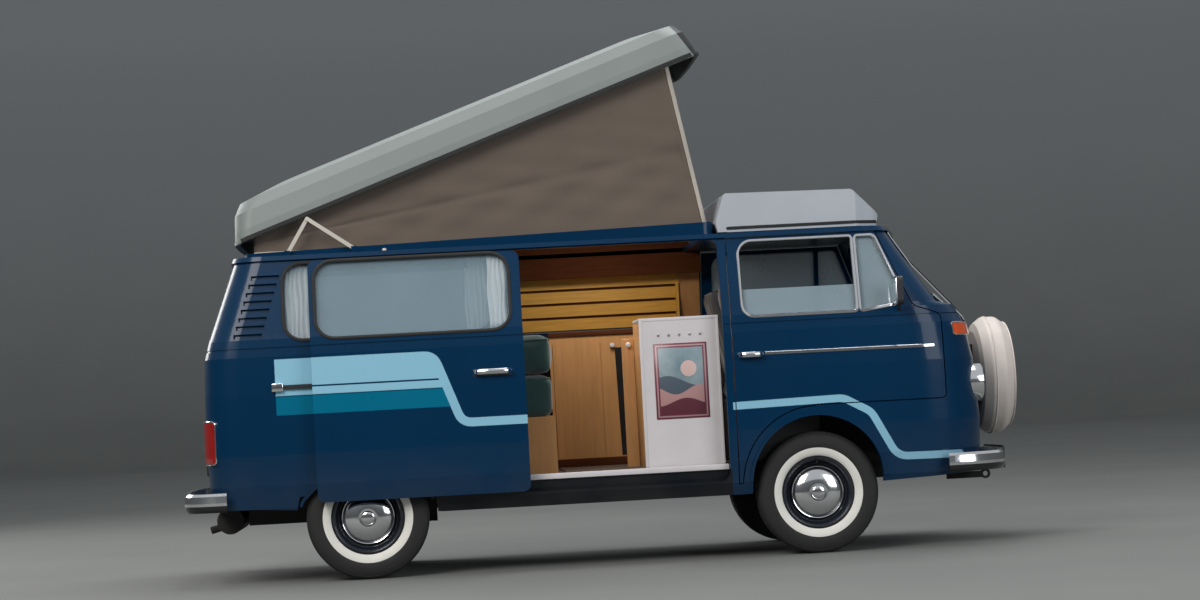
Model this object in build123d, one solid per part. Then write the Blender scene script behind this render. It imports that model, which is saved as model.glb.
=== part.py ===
from build123d import *
import math
import os

os.makedirs("parts", exist_ok=True)

# Frame, in millimetres.
# +X front, +Y left, +Z up, ground at Z 0, origin under the middle of the box.
FRONT_AXLE = 1095.0
REAR_AXLE = -1305.0
WHEEL_Z = 325.0
TRACK_F = 1395.0
TRACK_R = 1455.0
WALL = 45.0
ROOF_Z = 1712.0
FLOOR_Z = 500.0
BOTTOM_Z = 336.0


# Helpers.
def box(x0, x1, y0, y1, z0, z1):
    return Pos((x0 + x1) / 2, (y0 + y1) / 2, (z0 + z1) / 2) * Box(x1 - x0, y1 - y0, z1 - z0)


def corners(pts):
    """Start, middle and end of each rounded corner of a closed outline of (a, b[, r])."""
    out, n = [], len(pts)
    for i, p in enumerate(pts):
        r = p[2] if len(p) > 2 else 0.0
        a, b = pts[i - 1], pts[(i + 1) % n]
        if r <= 0:
            out.append(((p[0], p[1]), None, (p[0], p[1])))
            continue
        ux, uy = a[0] - p[0], a[1] - p[1]
        vx, vy = b[0] - p[0], b[1] - p[1]
        lu, lv = math.hypot(ux, uy), math.hypot(vx, vy)
        ux, uy, vx, vy = ux / lu, uy / lu, vx / lv, vy / lv
        half = math.acos(max(-1.0, min(1.0, ux * vx + uy * vy))) / 2
        t = min(r / math.tan(half), 0.499 * lu, 0.499 * lv)
        r = t * math.tan(half)
        bx, by = ux + vx, uy + vy
        lb = math.hypot(bx, by)
        bx, by = bx / lb, by / lb
        d = r / math.sin(half)
        out.append(((p[0] + ux * t, p[1] + uy * t),
                    (p[0] + bx * (d - r), p[1] + by * (d - r)),
                    (p[0] + vx * t, p[1] + vy * t)))
    return out


def outline_wire(pts, place):
    legs = corners(pts)
    edges = []
    for i, (start, mid, end) in enumerate(legs):
        if mid:
            edges.append(Edge.make_three_point_arc(place(*start), place(*mid), place(*end)))
        nxt = legs[(i + 1) % len(legs)][0]
        if math.hypot(end[0] - nxt[0], end[1] - nxt[1]) > 1e-6:
            edges.append(Edge.make_line(place(*end), place(*nxt)))
    return Wire(edges)


def inset(pts, t):
    """Move each side of a closed outline inward by t; its corner radii shrink by as much."""
    n = len(pts)
    area = sum(pts[i][0] * pts[(i + 1) % n][1] - pts[(i + 1) % n][0] * pts[i][1] for i in range(n))
    s = 1.0 if area > 0 else -1.0
    out = []
    for i in range(n):
        a, p, b = pts[i - 1], pts[i], pts[(i + 1) % n]
        d1 = (p[0] - a[0], p[1] - a[1])
        d2 = (b[0] - p[0], b[1] - p[1])
        l1, l2 = math.hypot(*d1), math.hypot(*d2)
        n1 = (-d1[1] / l1 * s, d1[0] / l1 * s)
        n2 = (-d2[1] / l2 * s, d2[0] / l2 * s)
        k = 1 + n1[0] * n2[0] + n1[1] * n2[1]
        mx, my = (n1[0] + n2[0]) / k, (n1[1] + n2[1]) / k
        q = [p[0] + mx * t, p[1] + my * t]
        if len(p) > 2:
            turn = (d1[0] * d2[1] - d1[1] * d2[0]) * s
            q.append(max(p[2] - t, 1.0) if turn > 0 else p[2] + t)
        out.append(tuple(q))
    return out


def prism_y(pts, y0, y1):
    f = Face(outline_wire(pts, lambda a, b: (a, y0, b)))
    return extrude(f, amount=y1 - y0, dir=(0, 1, 0))


def prism_x(pts, x0, x1):
    f = Face(outline_wire(pts, lambda a, b: (x0, a, b)))
    return extrude(f, amount=x1 - x0, dir=(1, 0, 0))


def prism_z(pts, z0, z1):
    f = Face(outline_wire(pts, lambda a, b: (a, b, z0)))
    return extrude(f, amount=z1 - z0, dir=(0, 0, 1))


def cyl_y(r, x, z, y0, y1):
    return Pos(x, (y0 + y1) / 2, z) * Rot(90, 0, 0) * Cylinder(r, abs(y1 - y0))


def cyl_x(r, y, z, x0, x1):
    return Pos((x0 + x1) / 2, y, z) * Rot(0, 90, 0) * Cylinder(r, abs(x1 - x0))


def cyl_z(r, x, y, z0, z1):
    return Pos(x, y, (z0 + z1) / 2) * Cylinder(r, abs(z1 - z0))


def rod(a, b, r):
    a, b = Vector(*a), Vector(*b)
    plane = Plane(origin=a, z_dir=(b - a))
    return extrude(plane * Circle(r), amount=(b - a).length)


def mirror_y(part):
    return mirror(part, about=Plane.XZ)


def sides(pts):
    """The outline reflected about the other axis: (y, z) points of one half closed with its mirror."""
    left = [(-p[0],) + tuple(p[1:]) for p in reversed(pts)]
    return list(pts) + left


def join(parts):
    out = parts[0]
    for p in parts[1:]:
        out = out + p
    return out


def at_axis_y(x, z, deg, part):
    """Turn a part about a Y axis through (x, z); plus raises +X."""
    return Pos(x, 0, z) * Rot(0, -deg, 0) * Pos(-x, 0, -z) * part


# Body form.
# One row per height: plan outline of the body there.
BODY_KEYS = ("z", "half", "rear", "front", "rear_bow", "front_bow", "rear_r", "front_r")
BODY = [dict(zip(BODY_KEYS, row)) for row in [
    (300.0, 775.0, -2122.0, 2015.0, 45.0, 130.0, 170.0, 330.0),
    (400.0, 822.0, -2146.0, 2050.0, 45.0, 130.0, 180.0, 340.0),
    (520.0, 848.0, -2160.0, 2078.0, 45.0, 132.0, 190.0, 350.0),
    (680.0, 860.0, -2166.0, 2086.0, 45.0, 135.0, 190.0, 350.0),
    (1000.0, 858.0, -2164.0, 2070.0, 45.0, 140.0, 190.0, 345.0),
    (1200.0, 850.0, -2157.0, 2032.0, 45.0, 148.0, 185.0, 320.0),
    (1292.0, 838.0, -2132.0, 1985.0, 45.0, 155.0, 175.0, 290.0),
    (1316.0, 832.0, -2122.0, 1910.0, 45.0, 180.0, 170.0, 170.0),
    (1716.0, 742.0, -1978.0, 1664.0, 45.0, 185.0, 150.0, 130.0),
]]
CAP = [dict(zip(BODY_KEYS, row)) for row in [
    (1712.0, 742.9, -1979.4, 1666.5, 45.0, 185.0, 150.0, 130.0),
    (1722.0, 738.0, -1962.0, 1650.0, 45.0, 185.0, 150.0, 130.0),
    (1736.0, 640.0, -1880.0, 1545.0, 45.0, 180.0, 150.0, 130.0),
]]


def row_at(rows, z):
    lo, hi = rows[0], rows[1]
    for a, b in zip(rows, rows[1:]):
        lo, hi = a, b
        if z <= b["z"]:
            break
    k = (z - lo["z"]) / (hi["z"] - lo["z"])
    return {key: lo[key] + (hi[key] - lo[key]) * k for key in BODY_KEYS}


def plan(row):
    """Rounded plan outline, bowed at both ends."""
    w = row["half"]
    pts = []
    for end, s in ((row["rear"], -1.0), (row["front"], 1.0)):
        bow = row["rear_bow"] if s < 0 else row["front_bow"]
        r = row["rear_r"] if s < 0 else row["front_r"]
        ang = math.atan2(bow, w)
        apex_r = 0.45 * w / math.tan(ang) if ang > 0 else 1e4
        lift = apex_r * (1 / math.cos(ang) - 1)
        apex = end + s * lift
        flank = end + s * (lift - bow)
        if s < 0:
            pts += [(flank, w, r), (apex, 0.0, apex_r), (flank, -w, r)]
        else:
            pts += [(flank, -w, r), (apex, 0.0, apex_r), (flank, w, r)]
    return pts


def hull(rows, t, z0, z1):
    """Solid between two heights, its outline moved inward by t."""
    zs = [z0] + [r["z"] for r in rows if z0 + 1 < r["z"] < z1 - 1] + [z1]
    wires = []
    for z in zs:
        pts = inset(plan(row_at(rows, z)), t)
        wires.append(outline_wire(pts, lambda a, b, z=z: (a, b, z)))
    return Part() + Solid.make_loft(wires, ruled=True)


body_out = hull(BODY, 0.0, 320.0, ROOF_Z)
body_in = hull(BODY, WALL, 310.0, ROOF_Z + 4)
below = prism_y([(-2500, 100), (2500, 100), (2500, 388), (1900, 386), (700, BOTTOM_Z),
                 (-900, BOTTOM_Z), (-1900, 400), (-2500, 402)], -1100, 1100)
walls = body_out - body_in - below

# shallow groove round the belt
BELT_Z = 1243.0
groove = hull(BODY, -4.0, BELT_Z - 5, BELT_Z + 5) - hull(BODY, 5.0, BELT_Z - 8, BELT_Z + 8)

# Openings.
# Cab door opening, side view (x, z, r).
DOOR_REAR = 667.0
DOOR_FRONT = 1806.0
CAB_DOOR = [(DOOR_REAR - 40, 392), (1095, 392), (1095, 790), (DOOR_FRONT, 790, 30), (DOOR_FRONT, 1246, 45),
            (1652, 1296, 60), (1484.4, ROOF_Z), (DOOR_REAR - 40, ROOF_Z)]
ARCH_F = dict(x=FRONT_AXLE, z=385.0, r=352.0)
DOOR_ARCH_R = 400.0
HINGE_X = 1790.0
HINGE_Y = 840.0
DOOR_R = HINGE_X - 673.0

SLIDE_X0, SLIDE_X1 = -505.0, 625.0
SLIDE_Z0, SLIDE_Z1 = 414.0, 1702.0
SLIDE_R = 45.0
SLIDE_DOOR = [(SLIDE_X0, SLIDE_Z0, SLIDE_R), (SLIDE_X1, SLIDE_Z0, SLIDE_R),
              (SLIDE_X1, SLIDE_Z1, SLIDE_R), (SLIDE_X0, SLIDE_Z1, SLIDE_R)]
SLIDE_BACK = 1059.0
SLIDE_OUT = 62.0
WINDOW_A = [(-463, 1285, 95), (554, 1285, 95), (554, 1684, 95), (-463, 1684, 95)]
WINDOW_B = [(-1690, 1285, 95), (-595, 1285, 95), (-595, 1684, 95), (-1690, 1684, 95)]
CAB_MAIN = [(738, 1283, 60), (1346, 1283, 12), (1346, 1684, 12), (738, 1684, 70)]
CAB_VENT = [(1371, 1283, 12), (1610, 1316, 40), (1470, 1684, 30), (1371, 1684, 12)]
SCREEN = sides([(-712, 1334, 90), (-628, 1690, 90)])
TAILGATE = sides([(-612, 900, 60), (-566, 1692, 90)])
REAR_GLASS = sides([(-520, 1294, 90), (-478, 1648, 90)])
ENGINE_LID = sides([(-432, 506, 45), (-424, 862, 45)])

GATE_X, GATE_Z = -1984.0, 1690.0


def cab_door_zone(gap, side):
    """Door outline moved inward by gap, as a block over one side wall."""
    y0, y1 = (-1000, -500) if side < 0 else (500, 1000)
    zone = prism_y(inset(CAB_DOOR, gap), y0, y1)
    zone -= cyl_y(DOOR_ARCH_R + gap, ARCH_F["x"], ARCH_F["z"], y0 - 5, y1 + 5)
    zone &= cyl_z(DOOR_R + 6 - gap, HINGE_X, side * HINGE_Y, 300, 1800)
    return zone


def arch_front():
    c = cyl_y(ARCH_F["r"], ARCH_F["x"], ARCH_F["z"], -1000, 1000)
    return c + box(ARCH_F["x"] - ARCH_F["r"], ARCH_F["x"] + ARCH_F["r"], -1000, 1000, 250, ARCH_F["z"])


REAR_ARCH = [(REAR_AXLE - 348, 250), (REAR_AXLE + 348, 250), (REAR_AXLE + 338, 420, 60),
             (REAR_AXLE + 232, 520, 150), (REAR_AXLE - 232, 520, 150), (REAR_AXLE - 338, 420, 60)]

front_zone = prism_y([(DOOR_FRONT, 200), (DOOR_FRONT, 1246, 45), (1652, 1296, 60), (1484.4, ROOF_Z),
                      (1484.4, ROOF_Z + 6), (2500, ROOF_Z + 6), (2500, 200)], -1100, 1100)
rear_zone = prism_y([(-2056, 200), (-2056, 1246), (-1880, ROOF_Z + 6), (-2500, ROOF_Z + 6), (-2500, 200)],
                    -1100, 1100)

# Side panels.
flanks = walls - front_zone - rear_zone
flanks -= arch_front()
flanks -= prism_y(REAR_ARCH, -1000, 1000)
for side in (-1, 1):
    y0, y1 = (-1000, -500) if side < 0 else (500, 1000)
    flanks -= cab_door_zone(0.0, side)
    flanks -= prism_y(WINDOW_B, y0, y1)
    # room for the wheel inside the wall
    flanks -= cyl_y(372, REAR_AXLE, WHEEL_Z, side * 600, side * 834)
flanks -= groove

# rolled lips round the wheel arches, a little proud of the skin
LIP_W, LIP_OUT = 15.0, 6.0
lip_skin = hull(BODY, -LIP_OUT, 402.0, 900.0) - hull(BODY, 20.0, 400.0, 905.0)
front_lip = cyl_y(ARCH_F["r"] + LIP_W, ARCH_F["x"], ARCH_F["z"], -1000, 1000) - arch_front()
rear_lip = prism_y(inset(REAR_ARCH, -LIP_W), -1000, 1000) - prism_y(REAR_ARCH, -1005, 1005)
flanks += lip_skin & (front_lip + rear_lip)

# air intakes on the rear pillars, eight slots a side
SLOT_COUNT = 8
skin = hull(BODY, -3.0, 1280, 1660) - hull(BODY, 18.0, 1276, 1664)
slots = []
for i in range(SLOT_COUNT):
    z = 1300 + i * 44.0
    back = -1962 + (z - 1300) * 0.33
    slots.append(box(back, back + 150, -1000, 1000, z, z + 24))
flanks -= skin & join(slots)

side_panel_right = flanks & box(-2600, 2600, -1100, 0, 0, 2000)
side_panel_right -= prism_y(SLIDE_DOOR, -1000, -500)
# recessed sill behind the lower edge of the side door
SILL_OUT, SILL_IN = WALL + 3.0, WALL + 17.0
sill = hull(BODY, SILL_OUT, 402.0, FLOOR_Z - 28) - hull(BODY, SILL_IN, 400.0, FLOOR_Z - 20)
sill += hull(BODY, 10.0, 402.0, SLIDE_Z0 - 2) - hull(BODY, SILL_IN, 400.0, SLIDE_Z0 + 5)
for x in (SLIDE_X0 - 10, SLIDE_X1 - 1):
    sill += (hull(BODY, 30.0, 402.0, FLOOR_Z - 28) - hull(BODY, SILL_IN, 400.0, FLOOR_Z - 20)) & \
        box(x, x + 11, -1000, 0, 300, 600)
side_panel_right += sill & box(SLIDE_X0 - 10, SLIDE_X1 + 10, -1000, -500, 300, 600)
side_panel_left = flanks & box(-2600, 2600, 0, 1100, 0, 2000)
side_panel_left -= prism_y(WINDOW_A, 500, 1000)

# Front and rear panels.
front_panel = walls & front_zone
front_panel -= groove
front_panel -= prism_x(SCREEN, 1400, 2200)
# fresh-air intake under the screen: a bank of slots
GRILLE_Y = 430.0
grille_skin = hull(BODY, -3.0, 1130, 1226) - hull(BODY, 16.0, 1120, 1240)
front_panel -= grille_skin & box(1900, 2200, -GRILLE_Y, GRILLE_Y, 1136, 1220)

rear_panel = walls & rear_zone
rear_panel -= groove
rear_panel -= prism_x(TAILGATE, -2400, -1850) & cyl_y(GATE_Z - 896, GATE_X, GATE_Z, -700, 700) + \
    (prism_x(TAILGATE, -2400, -1850) & box(-2400, -1850, -700, 700, 1240, 1720))
rear_panel -= prism_x(ENGINE_LID, -2400, -2000)

# Roof panel.
COAM = dict(rear=-1895.0, front=630.0, half=638.0, r=70.0, wall=10.0)


def coaming_outline(t):
    c = COAM
    return inset([(c["rear"], -c["half"], c["r"]), (c["front"], -c["half"], c["r"]),
                  (c["front"], c["half"], c["r"]), (c["rear"], c["half"], c["r"])], t)


roof_panel = hull(CAP, 0.0, ROOF_Z, 1736.0) + hull(BODY, -13.0, ROOF_Z, 1717.0)
drip_rail = hull(BODY, -16.0, 1710.0, 1734.0) - hull(BODY, -10.0, 1700.0, 1744.0)
roof_panel += drip_rail
coam = prism_z(coaming_outline(0), 1722, 1830) - prism_z(coaming_outline(COAM["wall"]), 1700, 1850)
coam -= prism_y([(-2200, 1752), (900, 1812.5), (900, 1900), (-2200, 1900)], -800, 800)
roof_panel += coam
roof_panel -= box(-1830, 560, -560, 560, 1600, 1900)

# Doors.
door_walls = body_out - body_in


def cab_door(side):
    d = door_walls & cab_door_zone(6.0, side)
    d -= groove
    d -= prism_y(CAB_MAIN, -1000 if side < 0 else 500, -500 if side < 0 else 1000)
    d -= prism_y(CAB_VENT, -1000 if side < 0 else 500, -500 if side < 0 else 1000)
    return d


HANDLE = dict(z=1076.0, x0=705.0, x1=822.0)


def handle(x0, x1, z, side, skin_y):
    """Bow handle standing off the skin."""
    s = side
    bar = box(x0, x1, *sorted((s * (skin_y + 22), s * (skin_y + 34))), z - 10, z + 10)
    y0, y1 = sorted((s * (skin_y - 6), s * (skin_y + 24)))
    feet = [box(a, a + 22, y0, y1, z - 9, z + 9) for a in (x0, x1 - 22)]
    return join([bar] + feet)


def mirror_head(side):
    """Outside mirror: arm and round-cornered head."""
    s = side
    x = FRONT_AXLE + 480
    arm = rod((x, s * 828, 1262), (x - 10, s * 905, 1330), 8)
    head = Pos(x - 12, s * 925, 1374) * Box(34, 118, 150)
    head = fillet(head.edges().filter_by(Axis.X), 26)
    return arm + head


cab_door_left = cab_door(1) + handle(HANDLE["x0"], HANDLE["x1"], HANDLE["z"], 1, 855)
cab_door_right = mirror_y(cab_door_left)
mirror_right = mirror_head(-1) - cab_door_right
mirror_left = mirror_head(1) - cab_door_left

slide_zone = prism_y(inset(SLIDE_DOOR, 6), -1000, -500)
sliding_door = door_walls & slide_zone
sliding_door -= groove
sliding_door -= prism_y(WINDOW_A, -1000, -500)
SLIDE_HANDLE = dict(x0=361.0, x1=545.0, z=1060.0)
sliding_door += handle(SLIDE_HANDLE["x0"], SLIDE_HANDLE["x1"], SLIDE_HANDLE["z"], -1, 855)
to_open = Pos(-SLIDE_BACK, -SLIDE_OUT, 0)
sliding_door = to_open * sliding_door

tailgate_zone = prism_x(inset(TAILGATE, 6), -2400, -1850)
tailgate = (door_walls & tailgate_zone) & (cyl_y(GATE_Z - 904, GATE_X, GATE_Z, -700, 700)
                                           + box(-2400, -1850, -700, 700, 1240, 1720))
tailgate -= groove
tailgate -= prism_x(REAR_GLASS, -2400, -1850)
engine_lid = door_walls & prism_x(inset(ENGINE_LID, 6), -2400, -2000)

# Glass.
# Side panes are flat and lean in with the upper wall; the screens follow the body's bow.
PANE_OUT, PANE_IN = 18.0, 23.5
PANE_FOOT = (1270.0, 841.0)
PANE_HEAD = (1700.0, 745.6)
side_lean = [(-PANE_FOOT[1] + PANE_OUT, PANE_FOOT[0]), (-PANE_HEAD[1] + PANE_OUT, PANE_HEAD[0]),
             (-PANE_HEAD[1] + PANE_IN, PANE_HEAD[0]), (-PANE_FOOT[1] + PANE_IN, PANE_FOOT[0])]
pane_layer = prism_x(side_lean, -2000, 2000)


def side_pane(window, z0=1270.0, z1=1700.0):
    """Right-hand pane of a window outline, kept between two heights."""
    hole = prism_y(inset(window, 0.2), -1000, -500)
    return Part() + (pane_layer & hole & box(-2000, 2000, -1000, -500, z0, z1))


bowed = hull(BODY, PANE_OUT, 1280, 1700) - hull(BODY, PANE_IN, 1270, 1705)
windscreen = bowed & prism_x(inset(SCREEN, 0.2), 1400, 2200)
tailgate_glass = bowed & prism_x(inset(REAR_GLASS, 0.2), -2400, -1850)
window_right = side_pane(WINDOW_B)
LOUVRES, LOUVRE_GAP = 4, 4.0
LOUVRE_Z0, LOUVRE_Z1 = 1288.0, 1684.0
LOUVRE_STEP = (LOUVRE_Z1 - LOUVRE_Z0) / LOUVRES
louvre_panes = []
for i in range(LOUVRES):
    z = LOUVRE_Z0 + i * LOUVRE_STEP
    louvre_panes.append(side_pane(WINDOW_A, z, z + LOUVRE_STEP - LOUVRE_GAP))
window_left = mirror_y(join([window_right] + louvre_panes))
HALF_DOWN_Z = 1425.0
vent_pane = side_pane(CAB_VENT)
cab_glass_left = mirror_y(side_pane(CAB_MAIN) + vent_pane)
cab_glass_right = side_pane(CAB_MAIN, z1=HALF_DOWN_Z) + vent_pane
sliding_glass = to_open * side_pane(WINDOW_A)

# Raised roof.
# The shell is drawn shut, then turned up about the axis of its linkage.
ROOF_AXIS = dict(x=FRONT_AXLE - 3235.0, z=2227.0)
ROOF_OPEN = 18.7
SHUT = dict(x=FRONT_AXLE - 3194.0, z=1764.0, tilt=1.08)
SHELL = [dict(zip(BODY_KEYS, row)) for row in [
    (0.0, 640.0, 0.0, 2724.0, 10.0, 14.0, 90.0, 90.0),
    (60.0, 637.0, 22.0, 2716.0, 10.0, 14.0, 95.0, 95.0),
    (150.0, 624.0, 56.0, 2700.0, 10.0, 14.0, 110.0, 110.0),
    (208.0, 590.0, 104.0, 2672.0, 10.0, 14.0, 140.0, 140.0),
    (240.0, 440.0, 270.0, 2520.0, 10.0, 14.0, 180.0, 180.0),
]]


def shut_to_open(part):
    shut = Pos(SHUT["x"], 0, SHUT["z"]) * Rot(0, -SHUT["tilt"], 0) * part
    return at_axis_y(ROOF_AXIS["x"], ROOF_AXIS["z"], ROOF_OPEN, shut)


SHELL_H = SHELL[-1]["z"]
shell = hull(SHELL, 0.0, 0.0, SHELL_H)
SHELL_IN = [dict(r, z=r["z"] - 20.0) for r in SHELL]
shell -= hull(SHELL_IN, 20.0, -20.0, SHELL_H - 20)
bands = hull(SHELL, -4.0, 4.0, 22.0) - hull(SHELL, 4.0, 0.0, 26.0)
shell += bands
roof_shell = shut_to_open(shell)

# canvas: two sides and a front, open above and below
CANVAS_FRONT = COAM["front"] - COAM["wall"] - 4.0
CANVAS = [(-1850, 1742), (CANVAS_FRONT, 1742), (CANVAS_FRONT, 1842), (446, 2640), (412, 2690), (-1850, 1880)]
CANVAS_Y = 588.0


def canvas_wedge(t):
    return prism_y([(CANVAS[0][0], CANVAS[0][1]), (CANVAS[1][0] - t, CANVAS[1][1]),
                    (CANVAS[2][0] - t, CANVAS[2][1]), (CANVAS[3][0] - t, CANVAS[3][1]),
                    (CANVAS[4][0] - t, CANVAS[4][1] + t), (CANVAS[5][0], CANVAS[5][1] + t)],
                   -CANVAS_Y + t, CANVAS_Y - t)


roof_canvas = canvas_wedge(0) - canvas_wedge(4)

# stays at the rear, one pair a layer, each side
STAY_KEYS = ("name", "foot_x", "foot_z", "top_x", "top_z", "y0", "y1")
STAYS = [dict(zip(STAY_KEYS, row)) for row in [
    ("roof_stay_rear", FRONT_AXLE - 2760.0, 1750.0, FRONT_AXLE - 2648.0, 1930.0, 650.0, 658.0),
    ("roof_stay_front", FRONT_AXLE - 2404.0, 1758.0, FRONT_AXLE - 2648.0, 1930.0, 664.0, 672.0),
]]


def stay(row):
    bars = []
    dx, dz = row["top_x"] - row["foot_x"], row["top_z"] - row["foot_z"]
    n = math.hypot(dx, dz)
    nx, nz = -dz / n * 10, dx / n * 10
    pts = [(row["foot_x"] + nx, row["foot_z"] + nz), (row["foot_x"] - nx, row["foot_z"] - nz),
           (row["top_x"] - nx, row["top_z"] - nz), (row["top_x"] + nx, row["top_z"] + nz)]
    for s in (-1, 1):
        y0, y1 = sorted((s * row["y0"], s * row["y1"]))
        bar = prism_y(pts, y0, y1)
        bar += cyl_y(10, row["foot_x"], row["foot_z"], y0, y1)
        bar += cyl_y(10, row["top_x"], row["top_z"], y0, y1)
        bars.append(bar)
    return bars[0] + bars[1]


roof_stay_rear, roof_stay_front = [stay(r) for r in STAYS]

# feet of the stays on the roof edge, outside both layers
for row in STAYS:
    for s in (-1, 1):
        y0, y1 = sorted((s * 680, s * 688))
        foot = box(row["foot_x"] - 16, row["foot_x"] + 16, y0, y1, 1724, row["foot_z"] + 12)
        roof_panel += foot

# Luggage tray over the cab: a tub with a raised rear wall and a raked front.
TRAY = [(FRONT_AXLE - 447, 1744), (FRONT_AXLE - 459, 1796, 12), (FRONT_AXLE - 407, 1955, 22),
        (FRONT_AXLE + 288, 1946, 30), (FRONT_AXLE + 440, 1806, 24), (FRONT_AXLE + 424, 1744)]
TRAY_ROOM = [(FRONT_AXLE - 425, 1790), (FRONT_AXLE - 376, 1945), (FRONT_AXLE - 376, 2100),
             (FRONT_AXLE + 266, 2100), (FRONT_AXLE + 266, 1938), (FRONT_AXLE + 405, 1790)]
TRAY_HALF = 648.0
TRAY_PLAN = [(FRONT_AXLE - 465, -TRAY_HALF, 34), (FRONT_AXLE + 300, -TRAY_HALF, 40),
             (FRONT_AXLE + 460, -560, 120), (FRONT_AXLE + 460, 560, 120),
             (FRONT_AXLE + 300, TRAY_HALF, 40), (FRONT_AXLE - 465, TRAY_HALF, 34)]
tray = prism_y(TRAY, -TRAY_HALF, TRAY_HALF) & prism_z(TRAY_PLAN, 1700, 2000)
tray -= prism_y(TRAY_ROOM, -TRAY_HALF + 26, TRAY_HALF - 26) & prism_z(inset(TRAY_PLAN, 26), 1700, 2200)
# mat on the tray's floor, clear of the leaning end walls
TRAY_MAT = dict(x0=FRONT_AXLE - 365, x1=FRONT_AXLE + 255, half=600.0, z=1796.0)
tray += box(TRAY_MAT["x0"], TRAY_MAT["x1"], -TRAY_MAT["half"], TRAY_MAT["half"], 1788, TRAY_MAT["z"])
luggage_tray = tray - hull(CAP, -1.0, 1700.0, 1736.0) - box(-2000, 700, -700, 700, 1600, 1746)

# Floor, wheel housings, engine deck, toe board.
hold = body_in & box(-2600, 2600, -1100, 1100, 420, ROOF_Z)
HOUSING_KEYS = ("x0", "x1", "y", "top")
HOUSINGS = [dict(zip(HOUSING_KEYS, row)) for row in [
    (FRONT_AXLE - 398, FRONT_AXLE + 398, 440.0, 772.0),
    (REAR_AXLE - 372, REAR_AXLE + 372, 560.0, 712.0),
]]
SHEET = 6.0
DECK_X = -1150.0
DECK_HALF = 554.0
FLOOR_LOW = FLOOR_Z - 28
floor_pan = hold & box(-2200, 2100, -900, 900, FLOOR_LOW, FLOOR_Z)
floor_pan -= box(-2300, REAR_AXLE - 60, -DECK_HALF, DECK_HALF, 400, 600)
housings = []
for h in HOUSINGS:
    for s in (-1, 1):
        y0, y1 = sorted((s * (h["y"] - SHEET), s * 1000))
        i0, i1 = sorted((s * h["y"], s * 1010))
        floor_pan -= box(h["x0"] - SHEET, h["x1"] + SHEET, y0, y1, 300, 600)
        tub = box(h["x0"] - SHEET, h["x1"] + SHEET, y0, y1, FLOOR_LOW, h["top"] + SHEET)
        tub -= box(h["x0"], h["x1"], i0, i1, 300, h["top"])
        housings.append(tub & hold)
wheel_housings = join(housings)
# rubber mat in the doorway
MAT = dict(x0=-240.0, x1=178.0, y0=-770.0, y1=240.0, z=FLOOR_Z + 6)
floor_pan += box(MAT["x0"], MAT["x1"], MAT["y0"], MAT["y1"], FLOOR_Z - 2, MAT["z"])
engine_deck = hold & box(-2200, DECK_X, -DECK_HALF, DECK_HALF, 800, 822)
engine_deck += hold & box(DECK_X - SHEET, DECK_X, -DECK_HALF, DECK_HALF, FLOOR_Z, 822)
toe_board = hold & prism_y([(1720, FLOOR_Z), (1740, FLOOR_Z), (1900, 700), (1886, 706)], -434, 434)

# Chassis.
RAIL_Y = 330.0
rails = []
for s in (-1, 1):
    y0, y1 = sorted((s * (RAIL_Y - 35), s * (RAIL_Y + 35)))
    rails.append(box(-1350, 1890, y0, y1, 372, FLOOR_Z - 28))
cross = [box(x, x + 60, -RAIL_Y - 200, RAIL_Y + 200, 380, FLOOR_Z - 40) for x in (-900, -150, 520)]
outriggers = [box(x, x + 50, -752, 752, 420, FLOOR_Z - 28) for x in (-560, 100, 600)]
chassis_rails = join(rails + cross + outriggers)
TOW = dict(x=2086.0, y=-330.0, z=362.0, bore_r=14.0, plate=16.0)
tow_y0, tow_y1 = TOW["y"] - TOW["plate"] / 2, TOW["y"] + TOW["plate"] / 2
tow = box(1870, TOW["x"], tow_y0, tow_y1, TOW["z"] - 22, TOW["z"] + 14)
tow += cyl_y(27, TOW["x"], TOW["z"] - 2, tow_y0, tow_y1)
tow -= cyl_y(TOW["bore_r"], TOW["x"], TOW["z"] - 2, tow_y0 - 10, tow_y1 + 10)
chassis_rails += tow

# Axles, knuckles.
PIVOT_Y = 618.0
BEAM_Z = (268.0, 388.0)
beam = [cyl_y(32, FRONT_AXLE - 70, z, -470, 470) for z in BEAM_Z]
beam += [box(FRONT_AXLE - 110, FRONT_AXLE - 30, s * 330 - 20, s * 330 + 20, 235, 430) for s in (-1, 1)]
beam += [box(FRONT_AXLE - 104, FRONT_AXLE - 36, s * 455 - 17, s * 455 + 17, 236, 470) for s in (-1, 1)]
for s in (-1, 1):
    for z in BEAM_Z:
        beam.append(rod((FRONT_AXLE - 70, s * 500, z), (FRONT_AXLE - 2, s * 566, z), 16))
        beam.append(cyl_y(19, FRONT_AXLE - 70, z, s * 440, s * 512))
    beam.append(box(FRONT_AXLE - 16, FRONT_AXLE + 14, *sorted((s * 556, s * 572)), 246, 412))
front_axle_beam = join(beam)
chassis_rails -= front_axle_beam


def knuckle(s):
    """Upright with its stub and brake drum; turns on a vertical pin."""
    pin = cyl_z(17, FRONT_AXLE, s * PIVOT_Y, 252, 404)
    stub = cyl_y(22, FRONT_AXLE, WHEEL_Z, s * PIVOT_Y, s * (TRACK_F / 2 - 24))
    drum = cyl_y(118, FRONT_AXLE, WHEEL_Z, s * (PIVOT_Y + 22), s * (TRACK_F / 2 - 14))
    arm = rod((FRONT_AXLE, s * PIVOT_Y, 280), (FRONT_AXLE - 150, s * (PIVOT_Y - 40), 280), 11)
    return join([pin, stub, drum, arm])


knuckle_left, knuckle_right = knuckle(1), knuckle(-1)

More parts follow.
